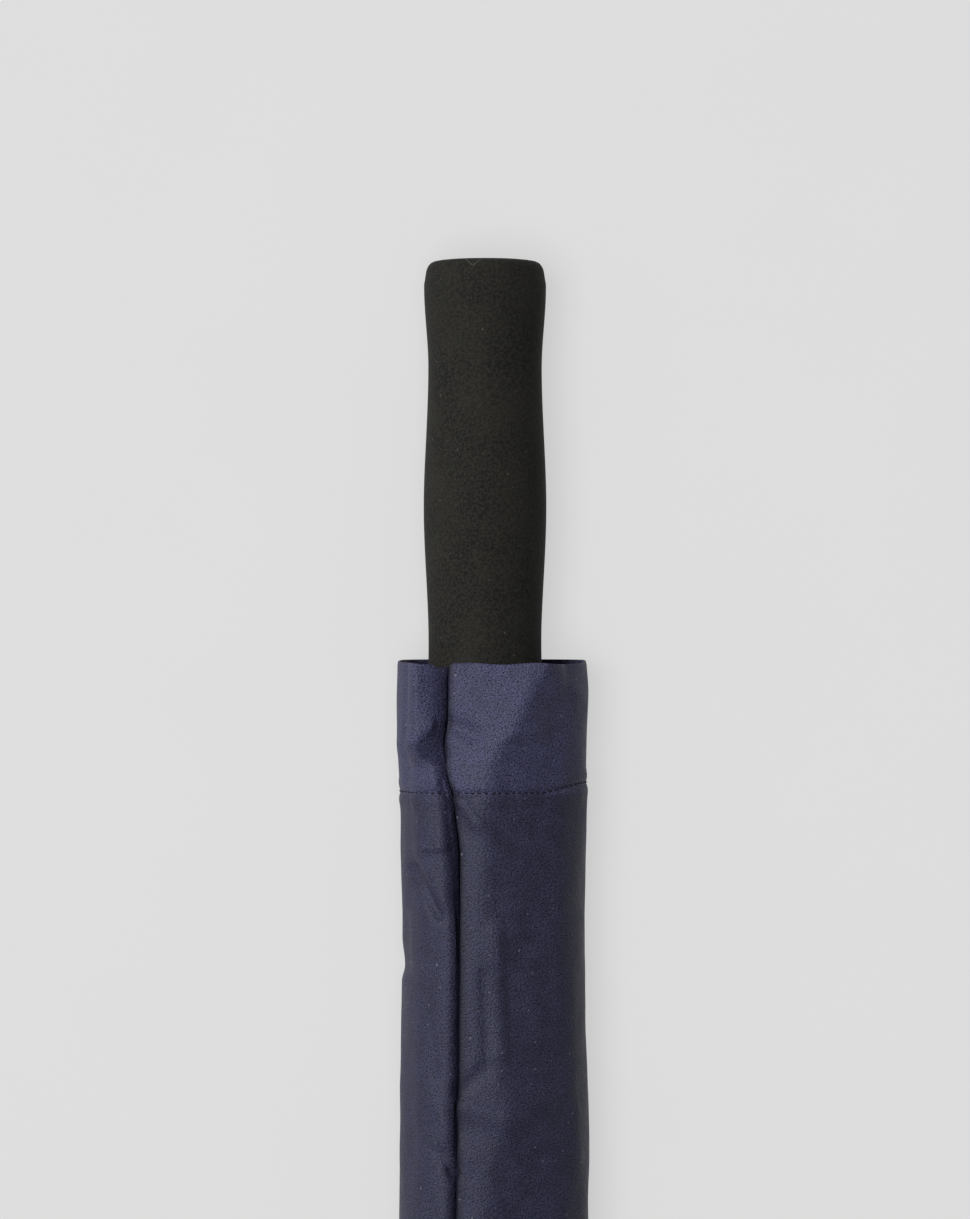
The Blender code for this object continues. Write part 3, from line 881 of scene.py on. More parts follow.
@dataclass(frozen=True)
class FurledCanopy:
    """The canopy of eight gores, folded into flaps and rolled round the ribs.

    Between two ribs the cloth folds double into one flap. The flaps all run
    round the frame the same way, each on top of the one before, and they get
    wider from the crown to the hem.

    Attributes:
        hem: How far down the hem is, in millimetres.
        apex: How far down the gores would come to a point.
        half: Half a gore's width, for each millimetre from the apex.
        layer: The distance from one layer of cloth to the next.
        gores: How many gores it has, one between each two ribs.
        tie: How far down the cloth is tied to the shaft.
        neck: How far down it starts to narrow to the tie.
        bunched: How far down it starts to bunch up over the crown.
        spacing: How far apart the gores lie on the flat cloth.
        core: Distance down and radius of the innermost layer.
        puff: Distance down and how far the outer folds stand off.
    """

    hem: float = 204.0
    apex: float = 876.0
    half: float = 0.383
    layer: float = 0.05
    gores: int = 8
    tie: float = 890.1
    neck: float = 884.0
    bunched: float = 850.0
    spacing: float = 600.0
    core: Knots = (
        (204.0, 17.8), (240.0, 17.5), (540.0, 15.6), (800.0, 14.0), (866.0, 13.9),
        (884.6, 13.75), (888.6, 12.0), (890.1, 8.0),
    )
    puff: Knots = (
        (204.0, 0.1), (250.0, 0.1), (285.0, 0.3), (420.0, 1.2), (700.0, 1.3), (840.0, 0.6),
        (880.0, 0.0), (890.1, 0.0),
    )

    def _ring(self, down: float) -> tuple[np.ndarray, ...]:
        """Follows the cloth once round, gore by gore.

        Args:
            down: The distance down.

        Returns:
            The angle and the radius of each point, and its place across the
            flat cloth.
        """
        reach = max(0.0, self.apex - down)
        core, puff = float(eased(down, self.core)), float(eased(down, self.puff))
        eighth = TURN / self.gores
        pitch = 2 * self.layer / eighth
        long = self.half * reach + core * eighth / 2
        far = max(eighth, (math.sqrt(core * core + 2 * pitch * long) - core) / pitch)
        apart = self.layer * float(smooth((far - eighth) / 0.5))
        share = np.concatenate([np.linspace(0, 0.72, 40, False), np.linspace(0.72, 1, 27)])
        angles, radii, places = [], [], []
        for gore in range(self.gores):
            tip = far + 0.05 * math.sin(down / 37.0 + 2.1 * gore) * (far > eighth + 0.1)
            out = tip * share
            back = (eighth + (tip - eighth) * share)[::-1]
            turn = np.concatenate([out, back])
            off = np.concatenate([np.full(out.shape, apart), np.zeros(back.shape)])
            stand = puff * hump(np.maximum(0.0, tip - 0.22 - turn), 0.5) * (tip > eighth)
            radius = core + pitch * turn * (far > eighth) + off + stand
            length = core * turn + pitch * turn**2 / 2
            across = np.where(off > 0, length, 2 * length[len(out) - 1] - length)
            start = eighth * (gore + 0.5)
            angles.append(start + turn)
            radii.append(radius)
            places.append(across + self.spacing * gore)
        turn, radius = np.concatenate(angles), np.concatenate(radii)
        lean = 0.004 * np.sin(3 * turn + down / 90.0) + 0.003 * np.sin(2 * turn - down / 51.0)
        return turn, radius * (1 + lean), np.concatenate(places)

    def build(self, bench: Bench, finish: bpy.types.Material) -> bpy.types.Object:
        """Rolls the canopy.

        Args:
            bench: Where the umbrella lies.
            finish: The cloth's material.

        Returns:
            The canopy.
        """
        rows = np.concatenate(
            [
                np.linspace(self.hem, self.bunched, 70, False),
                np.linspace(self.bunched, self.neck, 8, False),
                np.linspace(self.neck, self.tie, 8),
            ]
        )
        turn, radius, place = (
            np.array(part) for part in zip(*(self._ring(float(d)) for d in rows))
        )
        down = np.repeat(rows[:, None], turn.shape[1], axis=1)
        flat = np.stack([place, down], axis=-1)
        flat = np.concatenate([flat, flat[:, -1:]], axis=1) * MM
        mesh = Mesh()
        mesh.grid(bench.round(radius, turn, down), flat, ring=True)
        canopy = mesh.build("cloth_canopy", finish)
        settle(canopy, Body.UMBRELLA, Slot.CANOPY_CLOTH, "canopy")
        return canopy


@dataclass(frozen=True)
class TieStrap:
    """The band of canopy cloth that holds the roll, closed by the stud.

    Attributes:
        low: How far down it starts, in millimetres.
        high: How far down it ends.
        snug: The radius of its outer side round the roll.
        stud: The radius its outer end reaches under the stud.
        thick: How thick the hemmed cloth is.
        edge: The radius of its rounded edges.
        sewn: How far in from its edges it is sewn.
        stud_angle: How far round from the top the stud sits.
    """

    low: float = 255.3
    high: float = 276.7
    snug: float = 20.1
    stud: float = 22.35
    thick: float = 0.55
    edge: float = 0.22
    sewn: float = 2.2
    stud_angle: float = TURN / 4

    def build(
        self, bench: Bench, cloth: bpy.types.Material, thread: bpy.types.Material
    ) -> list[bpy.types.Object]:
        """Wraps the strap and sews its edges.

        Args:
            bench: Where the umbrella lies.
            cloth: The strap's material.
            thread: The thread's material.

        Returns:
            The strap and its stitches.
        """
        turn = np.linspace(-0.34, TURN + 0.46, 150)
        rise = self.stud - self.snug - 1.1 * self.thick
        near = hump(np.minimum(np.abs(turn), np.abs(turn - TURN)), 0.62)
        lap = smooth((turn - TURN + 0.62) / 0.28)
        radius = self.snug + rise * near + 1.1 * self.thick * lap
        low, high, middle = self.low, self.high, (self.low + self.high) / 2
        edge, thick = self.edge, self.thick
        # The band's cut edge, once round from its outer side to its inner.
        down = np.array(
            [low + edge, middle, high - edge, high, high, high - edge, middle, low + edge, low, low]
        )
        inward = -np.array([0, 0, 0, edge, thick - edge, thick, thick, thick, thick - edge, edge])
        angle = (turn + self.stud_angle)[:, None]
        points = bench.round(radius[:, None] + inward[None, :], angle, down[None, :])
        along = np.concatenate([[0.0], np.cumsum(np.diff(turn) * radius[1:])])
        girth = np.append(down, down[0])
        flat = np.stack(np.broadcast_arrays(along[:, None], girth[None, :]), -1) * MM
        mesh = Mesh()
        first = mesh.grid(points, flat, ring=True, flip=True)
        mesh.cap(first, len(down))
        mesh.cap(first + (len(turn) - 1) * len(down), len(down), flip=True)
        strap = mesh.build("cloth_tie_strap", cloth)
        out = np.stack([np.sin(angle[:, 0]), 0 * turn, np.cos(angle[:, 0])], 1)
        runs = [
            (bench.round(radius, angle[:, 0], np.full(turn.shape, d)), out)
            for d in (low + self.sewn, high - self.sewn)
        ]
        seam = Stitching("strap_stitches").build(runs, thread)
        settle(strap, Body.UMBRELLA, Slot.CANOPY_CLOTH, "tie_strap")
        settle(seam, Body.UMBRELLA, Slot.CANOPY_CLOTH)
        return [strap, seam]


@dataclass(frozen=True)
class Rosette:
    """The round patch of canopy cloth that covers the gathers at the ferrule.

    Attributes:
        bore: The radius of its hole, in millimetres.
        rim: The radius of its pinked rim.
        thick: How thick it is.
        teeth: How many teeth its rim is cut with.
        tooth: How deep they are cut.
    """

    bore: float = 7.45
    rim: float = 12.5
    thick: float = 0.8
    teeth: int = 30
    tooth: float = 0.7

    def build(self, bench: Bench, finish: bpy.types.Material) -> bpy.types.Object:
        """Cuts the patch.

        Args:
            bench: Where the umbrella lies.
            finish: The cloth's material.

        Returns:
            The patch.
        """
        start, _ = bench.down("canopy_washer")
        angle = np.arange(6 * self.teeth) / (6 * self.teeth) * TURN
        cut = self.tooth * (np.abs(np.sin(angle * self.teeth / 2)) - 1)
        wave = 0.12 * np.sin(5 * angle)
        middle = (self.bore + self.rim) / 2
        rings = [
            (self.bore, 0.0, 0.0),
            (middle, 0.0, 0.0),
            (self.rim - 0.1, 0.06, 1.0),
            (self.rim, self.thick / 2, 1.0),
            (self.rim - 0.1, self.thick - 0.06, 1.0),
            (middle, self.thick, 0.0),
            (self.bore, self.thick, 0.0),
        ]
        radius, lift, outer = (column[:, None] for column in np.array(rings).T)
        down = start + 0.05 + lift + wave * outer * 0.3
        turn = np.append(angle, TURN)
        flat = np.stack([radius * np.cos(turn), radius * np.sin(turn)], -1) * MM
        mesh = Mesh()
        first = mesh.grid(bench.round(radius + cut * outer, angle, down), flat, ring=True)
        mesh.bridge(first + (len(rings) - 1) * len(angle), first, len(angle))
        patch = mesh.build("cloth_rosette", finish)
        settle(patch, Body.UMBRELLA, Slot.CANOPY_CLOTH, "canopy_washer")
        return patch


@dataclass(frozen=True)
class Crease:
    """A soft ridge or dent in the sleeve's upper side.

    Attributes:
        start: Side and distance down of one end, in millimetres.
        end: The same of the other end.
        width: How wide it is.
        height: How high it stands, or how deep it lies if below 0.
        lean: How much steeper its near side is, from -1 to 1.
    """

    start: tuple[float, float]
    end: tuple[float, float]
    width: float
    height: float
    lean: float = 0.0

    def lift(self, side: np.ndarray, down: np.ndarray) -> np.ndarray:
        """How far it lifts the cloth at each point, in millimetres.

        Args:
            side: The points' sides.
            down: Their distances down.

        Returns:
            The lift, below 0 in a dent.
        """
        (x0, d0), (x1, d1) = self.start, self.end
        dx, dd = x1 - x0, d1 - d0
        long = math.hypot(dx, dd)
        run = ((side - x0) * dx + (down - d0) * dd) / long
        off = ((side - x0) * dd - (down - d0) * dx) / long
        past = np.maximum(0.0, np.maximum(-run, run - long))
        off = off * np.where(off > 0, 1.0 + self.lean, 1.0 - self.lean)
        return self.height * hump(np.hypot(off, past * 0.8), self.width)


@dataclass
class Sleeve:
    """The storage sleeve: one tube of cloth with a knife pleat in its top.

    The cloth runs from the pleat's inner fold back to the lip, over the right
    panel, under the umbrella, up over the left panel and in under the lip.

    Attributes:
        mouth: How far down the sleeve starts, in millimetres.
        stitch_line: How far down the hem is sewn.
        seam_start: How far down the flat sewn end starts.
        foot: How far down the sleeve ends.
        thick: How thick the cloth is.
        hem_thick: How thick it is where it is doubled.
        middle: The height of the sleeve's middle line.
        sunk: How much lower that line lies at the flat end.
        crown: The height of the right panel's ridge.
        widest: The sides of the outline at its widest, left and right.
        groove: Distance down and side of the pleat's lip.
        left: Distance down and side of the sleeve's left edge.
        right: The same of its right edge.
        swell: Distance down and the share of its full height.
        depth: Distance down and how far the crevice beside the lip sinks.
        roll: Distance down and how wide the left panel rolls over into it.
        droop: Distance down and how far the lip itself hangs.
        lean: Distance down and how much lower the lip lies than the ridge.
        ridge: Distance down and side of the right panel's soft ridge.
        pleat: Distance down and how far the cloth runs in under the lip.
        belly: Side and height of the outline from the right panel's shoulder,
            down, along the floor, and up to the left panel's shoulder.
        creases: The ridges and dents in the part that is seen most.
        lip_column: Which point of the outline, once spread, is the lip.
        tucked: How many points at its end lie inside the pleat.
    """

    mouth: float = 115.6
    stitch_line: float = 152.3
    seam_start: float = 960.0
    foot: float = 970.0
    thick: float = 0.3
    hem_thick: float = 0.62
    middle: float = 24.0
    sunk: float = 3.4
    crown: float = 47.45
    widest: tuple[float, float] = (-26.55, 26.95)
    lip_column: int = 21
    tucked: int = 22
    groove: Knots = (
        (115.0, -12.7), (131.0, -13.0), (138.5, -13.9), (145.0, -13.3), (157.0, -10.9),
        (170.0, -9.7), (200.0, -9.4), (232.0, -9.7), (243.0, -10.0), (275.0, -10.3),
        (360.0, -8.6), (470.0, -10.6), (590.0, -8.2), (720.0, -9.6), (850.0, -6.5),
        (970.0, -4.5),
    )
    left: Knots = (
        (115.0, -27.3), (135.0, -27.5), (165.0, -26.6), (194.0, -26.0), (202.5, -25.1),
        (207.0, -26.0), (238.0, -26.7), (275.0, -26.8), (420.0, -26.0), (560.0, -26.6),
        (700.0, -25.6), (820.0, -26.0), (970.0, -24.2),
    )
    right: Knots = (
        (115.0, 26.7), (124.0, 27.3), (150.0, 26.6), (180.0, 26.3), (215.0, 26.5),
        (258.0, 27.6), (275.0, 27.4), (420.0, 26.6), (560.0, 27.2), (700.0, 26.2),
        (820.0, 26.6), (970.0, 23.6),
    )
    swell: Knots = (
        (115.0, 1.0), (760.0, 1.0), (900.0, 0.62), (958.0, 0.07), (970.0, 0.035),
    )
    depth: Knots = (
        (115.0, 6.4), (150.0, 6.2), (190.0, 6.0), (203.0, 2.4), (256.0, 2.3), (970.0, 2.2),
    )
    roll: Knots = (
        (115.0, 9.0), (133.0, 8.6), (141.0, 7.8), (145.4, 3.6), (152.0, 3.6), (170.0, 4.0),
        (206.0, 2.8), (970.0, 2.4),
    )
    droop: Knots = (
        (115.0, 0.0), (136.0, 0.4), (142.0, 1.2), (154.0, 0.7), (170.0, 0.0), (970.0, 0.0),
    )
    lean: Knots = (
        (115.0, 4.0), (136.0, 3.4), (150.0, 2.0), (170.0, 1.1), (236.0, 0.9), (246.0, 1.3),
        (256.0, 0.9), (970.0, 0.9),
    )
    ridge: Knots = (
        (115.0, 15.0), (119.5, 13.0), (124.0, 10.6), (128.5, 8.5), (134.0, 6.2), (140.0, 0.8),
        (146.0, -1.0), (152.0, -2.0), (166.0, -3.0), (205.0, -3.0), (228.0, -0.5), (243.0, 3.0),
        (260.0, -0.5), (275.0, -3.0), (400.0, 2.0), (520.0, -2.5), (640.0, 1.5), (970.0, -1.0),
    )
    pleat: Knots = ((115.0, 12.5), (700.0, 11.5), (900.0, 6.0), (970.0, 2.2))
    belly: Knots = (
        (20.2, 37.3), (23.4, 33.6), (25.6, 29.4), (26.7, 25.4), (26.9, 19.0), (25.7, 12.2),
        (22.6, 6.0), (17.6, 2.0), (11.5, 0.5), (4.0, 0.3), (-4.0, 0.3), (-11.5, 0.5),
        (-17.4, 2.1), (-22.2, 6.2), (-25.2, 12.6), (-26.5, 19.5), (-26.5, 25.8), (-25.3, 32.0),
        (-23.2, 37.0),
    )
    creases: tuple[Crease, ...] = (
        # The hem: a shaded fold from the mouth, a dent by the lip, the cuff.
        Crease((18.0, 117.0), (23.5, 125.0), 3.0, 0.8, 0.2),
        Crease((15.0, 118.0), (17.0, 134.0), 3.6, -0.7),
        Crease((-10.5, 133.5), (-6.5, 135.5), 2.6, -1.5),
        Crease((-24.5, 139.5), (-18.0, 133.5), 2.2, 1.0, -0.3),
        Crease((-22.0, 147.0), (-16.0, 140.0), 2.8, -0.5),
        Crease((-16.5, 149.5), (-12.5, 144.0), 0.9, 0.34),
        Crease((-18.0, 149.0), (-14.0, 144.0), 0.8, 0.32),
        Crease((-19.5, 148.5), (-15.6, 143.7), 0.8, 0.3),
        # Below the hem: soft pulls, a sharp small fold and a long valley.
        Crease((-9.0, 155.0), (-4.5, 160.5), 2.0, 0.9),
        Crease((-7.5, 164.0), (-3.5, 168.0), 3.0, -0.35),
        Crease((-21.0, 167.8), (-14.5, 167.3), 1.0, 0.95, 0.3),
        Crease((-23.0, 174.0), (-16.0, 186.5), 1.8, -2.0, -0.2),
        Crease((-19.5, 174.0), (-14.5, 184.0), 1.8, 0.6),
        Crease((1.2, 191.0), (2.8, 226.0), 1.9, 0.85, 0.3),
        Crease((-2.6, 204.0), (-1.6, 230.0), 2.0, -0.6),
        Crease((8.0, 178.0), (3.0, 196.0), 4.5, 0.4),
        Crease((12.0, 205.0), (17.0, 188.0), 4.0, 0.4),
        Crease((-7.0, 241.0), (6.0, 244.5), 3.2, 1.2, 0.3),
        Crease((-9.0, 237.0), (-4.0, 231.5), 2.2, -0.8),
        Crease((-8.0, 253.0), (-2.0, 258.0), 2.8, 0.4),
        Crease((-14.5, 254.5), (-12.0, 259.0), 1.8, -1.1),
        Crease((-20.0, 200.0), (-17.0, 232.0), 2.2, -0.5),
        Crease((-25.2, 187.0), (-24.6, 203.0), 1.3, -0.6),
        Crease((-17.0, 240.0), (-13.0, 247.0), 2.4, 0.45),
        Crease((14.0, 240.0), (19.0, 272.0), 4.0, 0.45, 0.2),
        Crease((22.0, 205.0), (24.0, 262.0), 2.2, 0.4, 0.3),
    )

    def _rows(self) -> np.ndarray:
        """The distances down at which the cloth has a row of points.

        Returns:
            The distances, close together where the cloth is seen most.
        """
        # Where each run of rows starts, the step in it, and how many it has.
        parts = (
            (self.mouth, 0.35, 1),
            (self.mouth + 0.35, 0.8, 18),
            (self.mouth + 14.8, 1.0, 17),
            (self.stitch_line - 4.4, 0.44, 20),
            (self.stitch_line + 4.4, 0.8, 154),
            (self.stitch_line + 127.6, 2.8, 225),
        )
        rows = np.concatenate([start + step * np.arange(n) for start, step, n in parts])
        rows = rows[rows < self.seam_start - 1.0]
        return np.concatenate([rows, np.linspace(self.seam_start, self.foot, 8)])

    def _outline(self, down: float) -> np.ndarray:
        """The closed line of the cloth across the sleeve, at full size.

        Args:
            down: The distance down the sleeve.

        Returns:
            Side and height of the control points, from the inner fold round.
        """
        lip, tuck, sink, roll = (
            float(eased(down, k)) for k in (self.groove, self.pleat, self.depth, self.roll)
        )
        droop, lean, ridge = (
            float(eased(down, k)) for k in (self.droop, self.lean, self.ridge)
        )
        (right, right_high), (left, left_high) = self.belly[0], self.belly[-1]
        inner = lip + tuck
        top = self.crown - 0.01 * max(0.0, ridge) ** 2
        low = self.crown - 0.45 - lean - droop
        deep = float(smooth((down - 134.0) / 12.0))
        crest = 44.9 + 0.6 * deep
        fall = (0.48 + 0.22 * deep) * roll
        floor = crest - max(sink, fall + 0.3)
        peak = lip - roll
        start, run = lip + 0.8, right - ridge
        slope = 0.26
        bow = (top - right_high - slope * run) / run**2

        def over(side: float) -> float:
            """The height of the right panel's upper side."""
            if side > ridge:
                off = side - ridge
                return top - slope * off - bow * off * off
            t = max(0.0, (side - start) / (ridge - start))
            return low + 0.2 + (top - low - 0.2) * t * (1.4 - 0.4 * t)

        def under(share: float, gap: float) -> tuple[float, float]:
            """A point under the right panel, that share of the pleat in."""
            side = lip + share * tuck
            return side, over(side) - gap

        soft = 0.15 + 0.12 * float(smooth((down - 125.0) / 15.0))
        rise, height = peak - left, crest - left_high
        points = [
            (inner + 0.45, over(inner) - 1.15),
            (inner + 0.2, over(inner) - 0.85),
            under(0.9, 0.75),
            under(0.62, 0.75),
            under(0.36, 0.75),
            (lip + 1.3, low - 1.1),
            (lip + 0.5, low - 1.35),
            (lip + 0.02, low - 0.95),
            (lip + 0.12, low - 0.35),
            (start, low + 0.2),
            *((x, over(x)) for x in start + (ridge - start) * np.array([0.15, 0.42, 0.72])),
            (ridge, top - 0.12 - 0.05 * deep),
            *((x, over(x)) for x in ridge + run * np.array([soft, soft + 0.14, 0.44, 0.62, 0.8])),
            *self.belly,
            *(
                (left + t * rise - bulge * height, left_high + t * height + bulge * rise)
                for t, bulge in ((0.35, 0.13), (0.7, 0.12))
            ),
            (peak, crest),
            *(
                (peak + t * roll, crest - (a + b * deep) * fall)
                for t, a, b in ((0.3, 0.09, 0.09), (0.55, 0.28, 0.17), (0.8, 0.66, 0.15))
            ),
            (lip - 0.14, crest - fall - 0.2),
            (lip + 0.35, floor),
            (lip + 1.6, floor + 0.05),
            (lip + 0.35 * tuck, 0.5 * floor + 0.5 * under(0.35, 1.6)[1]),
            under(0.65, 1.55),
            under(0.9, 1.4),
            (inner + 0.2, over(inner) - 1.35),
        ]
        return np.array(points)

    def _spread(self, outline: np.ndarray) -> np.ndarray:
        """Gives the closed line more points, dense over the top.

        Args:
            outline: The control points.

        Returns:
            Points on a smooth closed curve through them.
        """
        # How many points each stretch gets, and how many stretches in turn.
        runs = ((3, 5), (2, 5), (5, 10), (4, 4), (2, 9), (3, 3), (5, 4), (3, 7))
        counts = [points for points, times in runs for _ in range(times)]
        counts += [2] * (len(outline) - len(counts))
        step = np.linalg.norm(np.roll(outline, -1, axis=0) - outline, axis=1)[:, None]
        slope = (np.roll(outline, -1, axis=0) - outline) / step
        last, past = np.roll(step, 1, axis=0), np.roll(slope, 1, axis=0)
        tangent = (past * step + slope * last) / (step + last)
        made = []
        for k, n in enumerate(counts):
            t = (np.arange(n) / n)[:, None]
            k2, long = (k + 1) % len(outline), step[k]
            made.append(
                (2 * t**3 - 3 * t**2 + 1) * outline[k]
                + (t**3 - 2 * t**2 + t) * tangent[k] * long
                + (3 * t**2 - 2 * t**3) * outline[k2]
                + (t**3 - t**2) * tangent[k2] * long
            )
        return np.concatenate(made)

    def _wander(self, along: np.ndarray, down: np.ndarray) -> np.ndarray:
        """Low waves that no cloth tube is without, in millimetres.

        Args:
            along: Each point's distance from the lip along the cloth.
            down: Its distance down.

        Returns:
            The lift at each point.
        """
        lift = np.zeros(np.broadcast(along, down).shape)
        rng = np.random.default_rng(11)
        for wide, long, high in (
            (34, 130, 0.32),
            (21, 64, 0.24),
            (15, 41, 0.16),
            (9, 24, 0.08),
            (6, 15, 0.045),
            (27, 19, 0.07),
        ):
            for _ in range(3):
                turn = rng.uniform(0, TURN, 3)
                bend = 0.7 * np.sin(down / (long * 1.7) * TURN + turn[2])
                lift += high * np.sin(along / wide * TURN + bend + turn[0]) * np.sin(
                    down / long * TURN + turn[1]
                )
        return lift

    def _loose_creases(self) -> list[Crease]:
        """The creases of the long plain run down to the sewn end.

        Returns:
            Creases in chance places, the same ones each time.
        """
        rng = np.random.default_rng(23)
        made = []
        for _ in range(64):
            x, d = rng.uniform(-24, 24), rng.uniform(284, 930)
            long, slant = rng.uniform(14, 70), rng.normal(0, 0.3)
            made.append(
                Crease(
                    (x, d),
                    (x + long * math.sin(slant), d + long * math.cos(slant)),
                    rng.uniform(1.2, 4.0),
                    rng.uniform(-0.75, 0.65),
                    rng.uniform(-0.4, 0.4),
                )
            )
        return made

    def _skin(self) -> tuple[np.ndarray, np.ndarray, np.ndarray, np.ndarray]:
        """Works out the cloth's outer side.

        Returns:
            Side, distance down and height of each point, and the distance of
            each from the lip along the cloth, all in millimetres.
        """
        rows = self._rows()
        side, height = [], []
        for d in rows:
            lip, share = float(eased(d, self.groove)), float(eased(d, self.swell))
            line = self._spread(self._outline(d))
            wide = (
                (float(eased(d, edge)) - lip) / (most - lip)
                for edge, most in zip((self.left, self.right), self.widest)
            )
            off = line[:, 0] - lip
            side.append(lip + off * np.where(off < 0, *wide))
            middle = self.middle - self.sunk * (1.0 - share)
            height.append(middle + (line[:, 1] - self.middle) * share)
        side, height = np.array(side), np.array(height)
        down = np.repeat(rows[:, None], side.shape[1], axis=1)
        return side, down, height, self._along(side, height)

    def _along(self, side: np.ndarray, height: np.ndarray) -> np.ndarray:
        """The distance from the lip, along the cloth across the sleeve.

        Args:
            side: The points' sides.
            height: Their heights.

        Returns:
            The distances, below 0 inside the pleat.
        """
        step = np.hypot(np.diff(side, axis=1), np.diff(height, axis=1))
        along = np.concatenate([np.zeros((len(side), 1)), np.cumsum(step, axis=1)], 1)
        return along - along[:, self.lip_column][:, None]

    def _out(self, side: np.ndarray, height: np.ndarray) -> tuple[np.ndarray, ...]:
        """The direction out of the cloth at each point, across the sleeve.

        Args:
            side: The points' sides.
            height: Their heights.

        Returns:
            The direction's sideways and upward shares.
        """
        dx = np.roll(side, -1, axis=1) - np.roll(side, 1, axis=1)
        dz = np.roll(height, -1, axis=1) - np.roll(height, 1, axis=1)
        long = np.maximum(np.hypot(dx, dz), 1e-9)
        return -dz / long, dx / long

    def _shape(self) -> dict[str, np.ndarray]:
        """Works out the outer and the inner side of the cloth, with creases.

        Returns:
            For each point its side, distance down and height on the outer side,
            its distance along the cloth, its side and height on the inner side,
            and the direction out of the cloth.
        """
        side, down, height, along = self._skin()
        out_x, out_z = self._out(side, height)
        seen = smooth((out_z + 0.1) / 0.35) * smooth((height - 20.0) / 6.0)
        seen[:, : self.lip_column - 3] = 0.0
        seen[:, -self.tucked :] = 0.0
        hidden = np.zeros_like(seen)
        hidden[:, : self.lip_column - 2] = 1.0
        hidden[:, -self.tucked :] = 1.0
        full = smooth((self.seam_start - 4.0 - down) / 120.0)
        lift = sum(c.lift(side, down) for c in (*self.creases, *self._loose_creases()))
        # The layers inside the pleat give way where the panel over them dips.
        height = height + hidden * full * np.minimum(lift, 0.0)
        calm = (0.35 + 0.65 * smooth((down - 270.0) / 60.0)) * smooth((height - 0.6) / 5.0)
        lift = (lift * seen + self._wander(along, down) * (1 - hidden) * calm) * full
        # The hem's stitches pull the cloth in, and it puffs on both sides.
        off = down - self.stitch_line
        rng = np.random.default_rng(5)
        turn = rng.uniform(0, TURN, 2)
        puff = 0.65 + 0.25 * np.sin(along / 5.7 * TURN + turn[0])
        puff += 0.2 * np.sin(along / 3.1 * TURN + turn[1])
        sewn = -0.5 * hump(off, 0.65) * (0.3 + 0.7 * seen) + 0.3 * puff * (
            hump(off + 2.3, 1.3) + hump(off - 2.5, 1.7)
        )
        edge = -0.16 * hump(down - self.mouth, 0.5)
        lift += (sewn + edge) * (1 - hidden)
        side = side + out_x * lift
        height = np.maximum(height + out_z * lift, 0.15)
        down = down + self._slide(side, down, height, hidden)
        # The inner side lies one cloth below the outer, or two in the hem.
        hem = 1 - smooth((down - self.stitch_line + 0.2) / 0.5)
        wall = self.thick + (self.hem_thick - self.thick) * hem
        wall = wall * (1 - 0.45 * hidden)
        out_x, out_z = self._out(side, height)
        return {
            "side": side,
            "down": down,
            "height": height,
            "along": along,
            "in_side": side - out_x * wall,
            "in_height": height - out_z * wall,
            "out_x": out_x,
            "out_z": out_z,
        }

    def _slide(
        self,
        side: np.ndarray,
        down: np.ndarray,
        height: np.ndarray,
        hidden: np.ndarray,
    ) -> np.ndarray:
        """How far each point moves along the sleeve, in millimetres.

        The left panel's rim dips at the lip, the rim below reaches further
        out, and the hem's stitches run up at the right edge.

        Args:
            side: The points' sides.
            down: Their distances down.
            height: Their heights.
            hidden: 1 for the cloth inside the pleat.

        Returns:
            The shift, above 0 away from the grip.
        """
        rim = np.exp(-np.maximum(down - self.mouth, 0.0) / 7.0)
        lip = eased(down, self.groove)
        upper = height > self.middle
        dip = np.where((side < lip + 0.3) & upper, smooth((side - lip + 4.0) / 4.2), 0.0)
        dip = np.maximum(dip, hidden)
        under = -0.85 * smooth((30.0 - height) / 16.0)
        wave = 0.25 * np.sin(side / 19.0 * TURN + 0.8) * upper
        pull = -2.6 * smooth((side - 13.0) / 14.0) * hump(down - self.stitch_line, 16.0)
        return rim * (dip + under + wave) + pull * smooth((height - 8.0) / 14.0)

    def build(
        self, bench: Bench, cloth: bpy.types.Material, thread: bpy.types.Material
    ) -> list[bpy.types.Object]:
        """Makes the sleeve and sews it.

        Args:
            bench: Where the umbrella lies.
            cloth: The sleeve's material.
            thread: The thread's material.

        Returns:
            The sleeve and its stitches.
        """
        s = self._shape()
        outer = bench.place(s["side"], s["down"], s["height"])
        inner = bench.place(s["in_side"], s["down"], s["in_height"])
        last = int(np.searchsorted(self._rows(), self.seam_start)) + 1
        closed = self._closed(s["along"], s["down"])
        rows, columns = s["side"].shape
        mesh = Mesh()
        first = mesh.grid(outer, closed, ring=True)
        below = mesh.grid(inner[:last], closed[:last], ring=True, flip=True)
        mesh.bridge(below, first, columns)
        mesh.cap(first + (rows - 1) * columns, columns)
        mesh.cap(below + (last - 1) * columns, columns, flip=True)
        sleeve = mesh.build("cloth_sleeve", cloth)
        settle(sleeve, Body.SLEEVE, Slot.SLEEVE_CLOTH, "sleeve")
        hem = self._sew(bench, s, self.stitch_line, "hem_stitches", thread)
        foot = self._sew(bench, s, self.seam_start + 2.8, "foot_stitches", thread)
        wide, narrow = (float(np.ptp(s["along"][row])) * MM for row in (0, -1))
        return [sleeve, hem, foot]

    def _closed(self, along: np.ndarray, down: np.ndarray) -> np.ndarray:
        """Each point's place on the flat cloth, with one more column.

        Args:
            along: The distances across the cloth.
            down: The distances down.

        Returns:
            The places, in metres.
        """
        step = along[:, -1] - along[:, -2]
        across = np.concatenate([along, (along[:, -1] + step)[:, None]], axis=1)
        length = np.concatenate([down, down[:, :1]], axis=1)
        return np.stack([across * MM, length * MM], axis=-1)

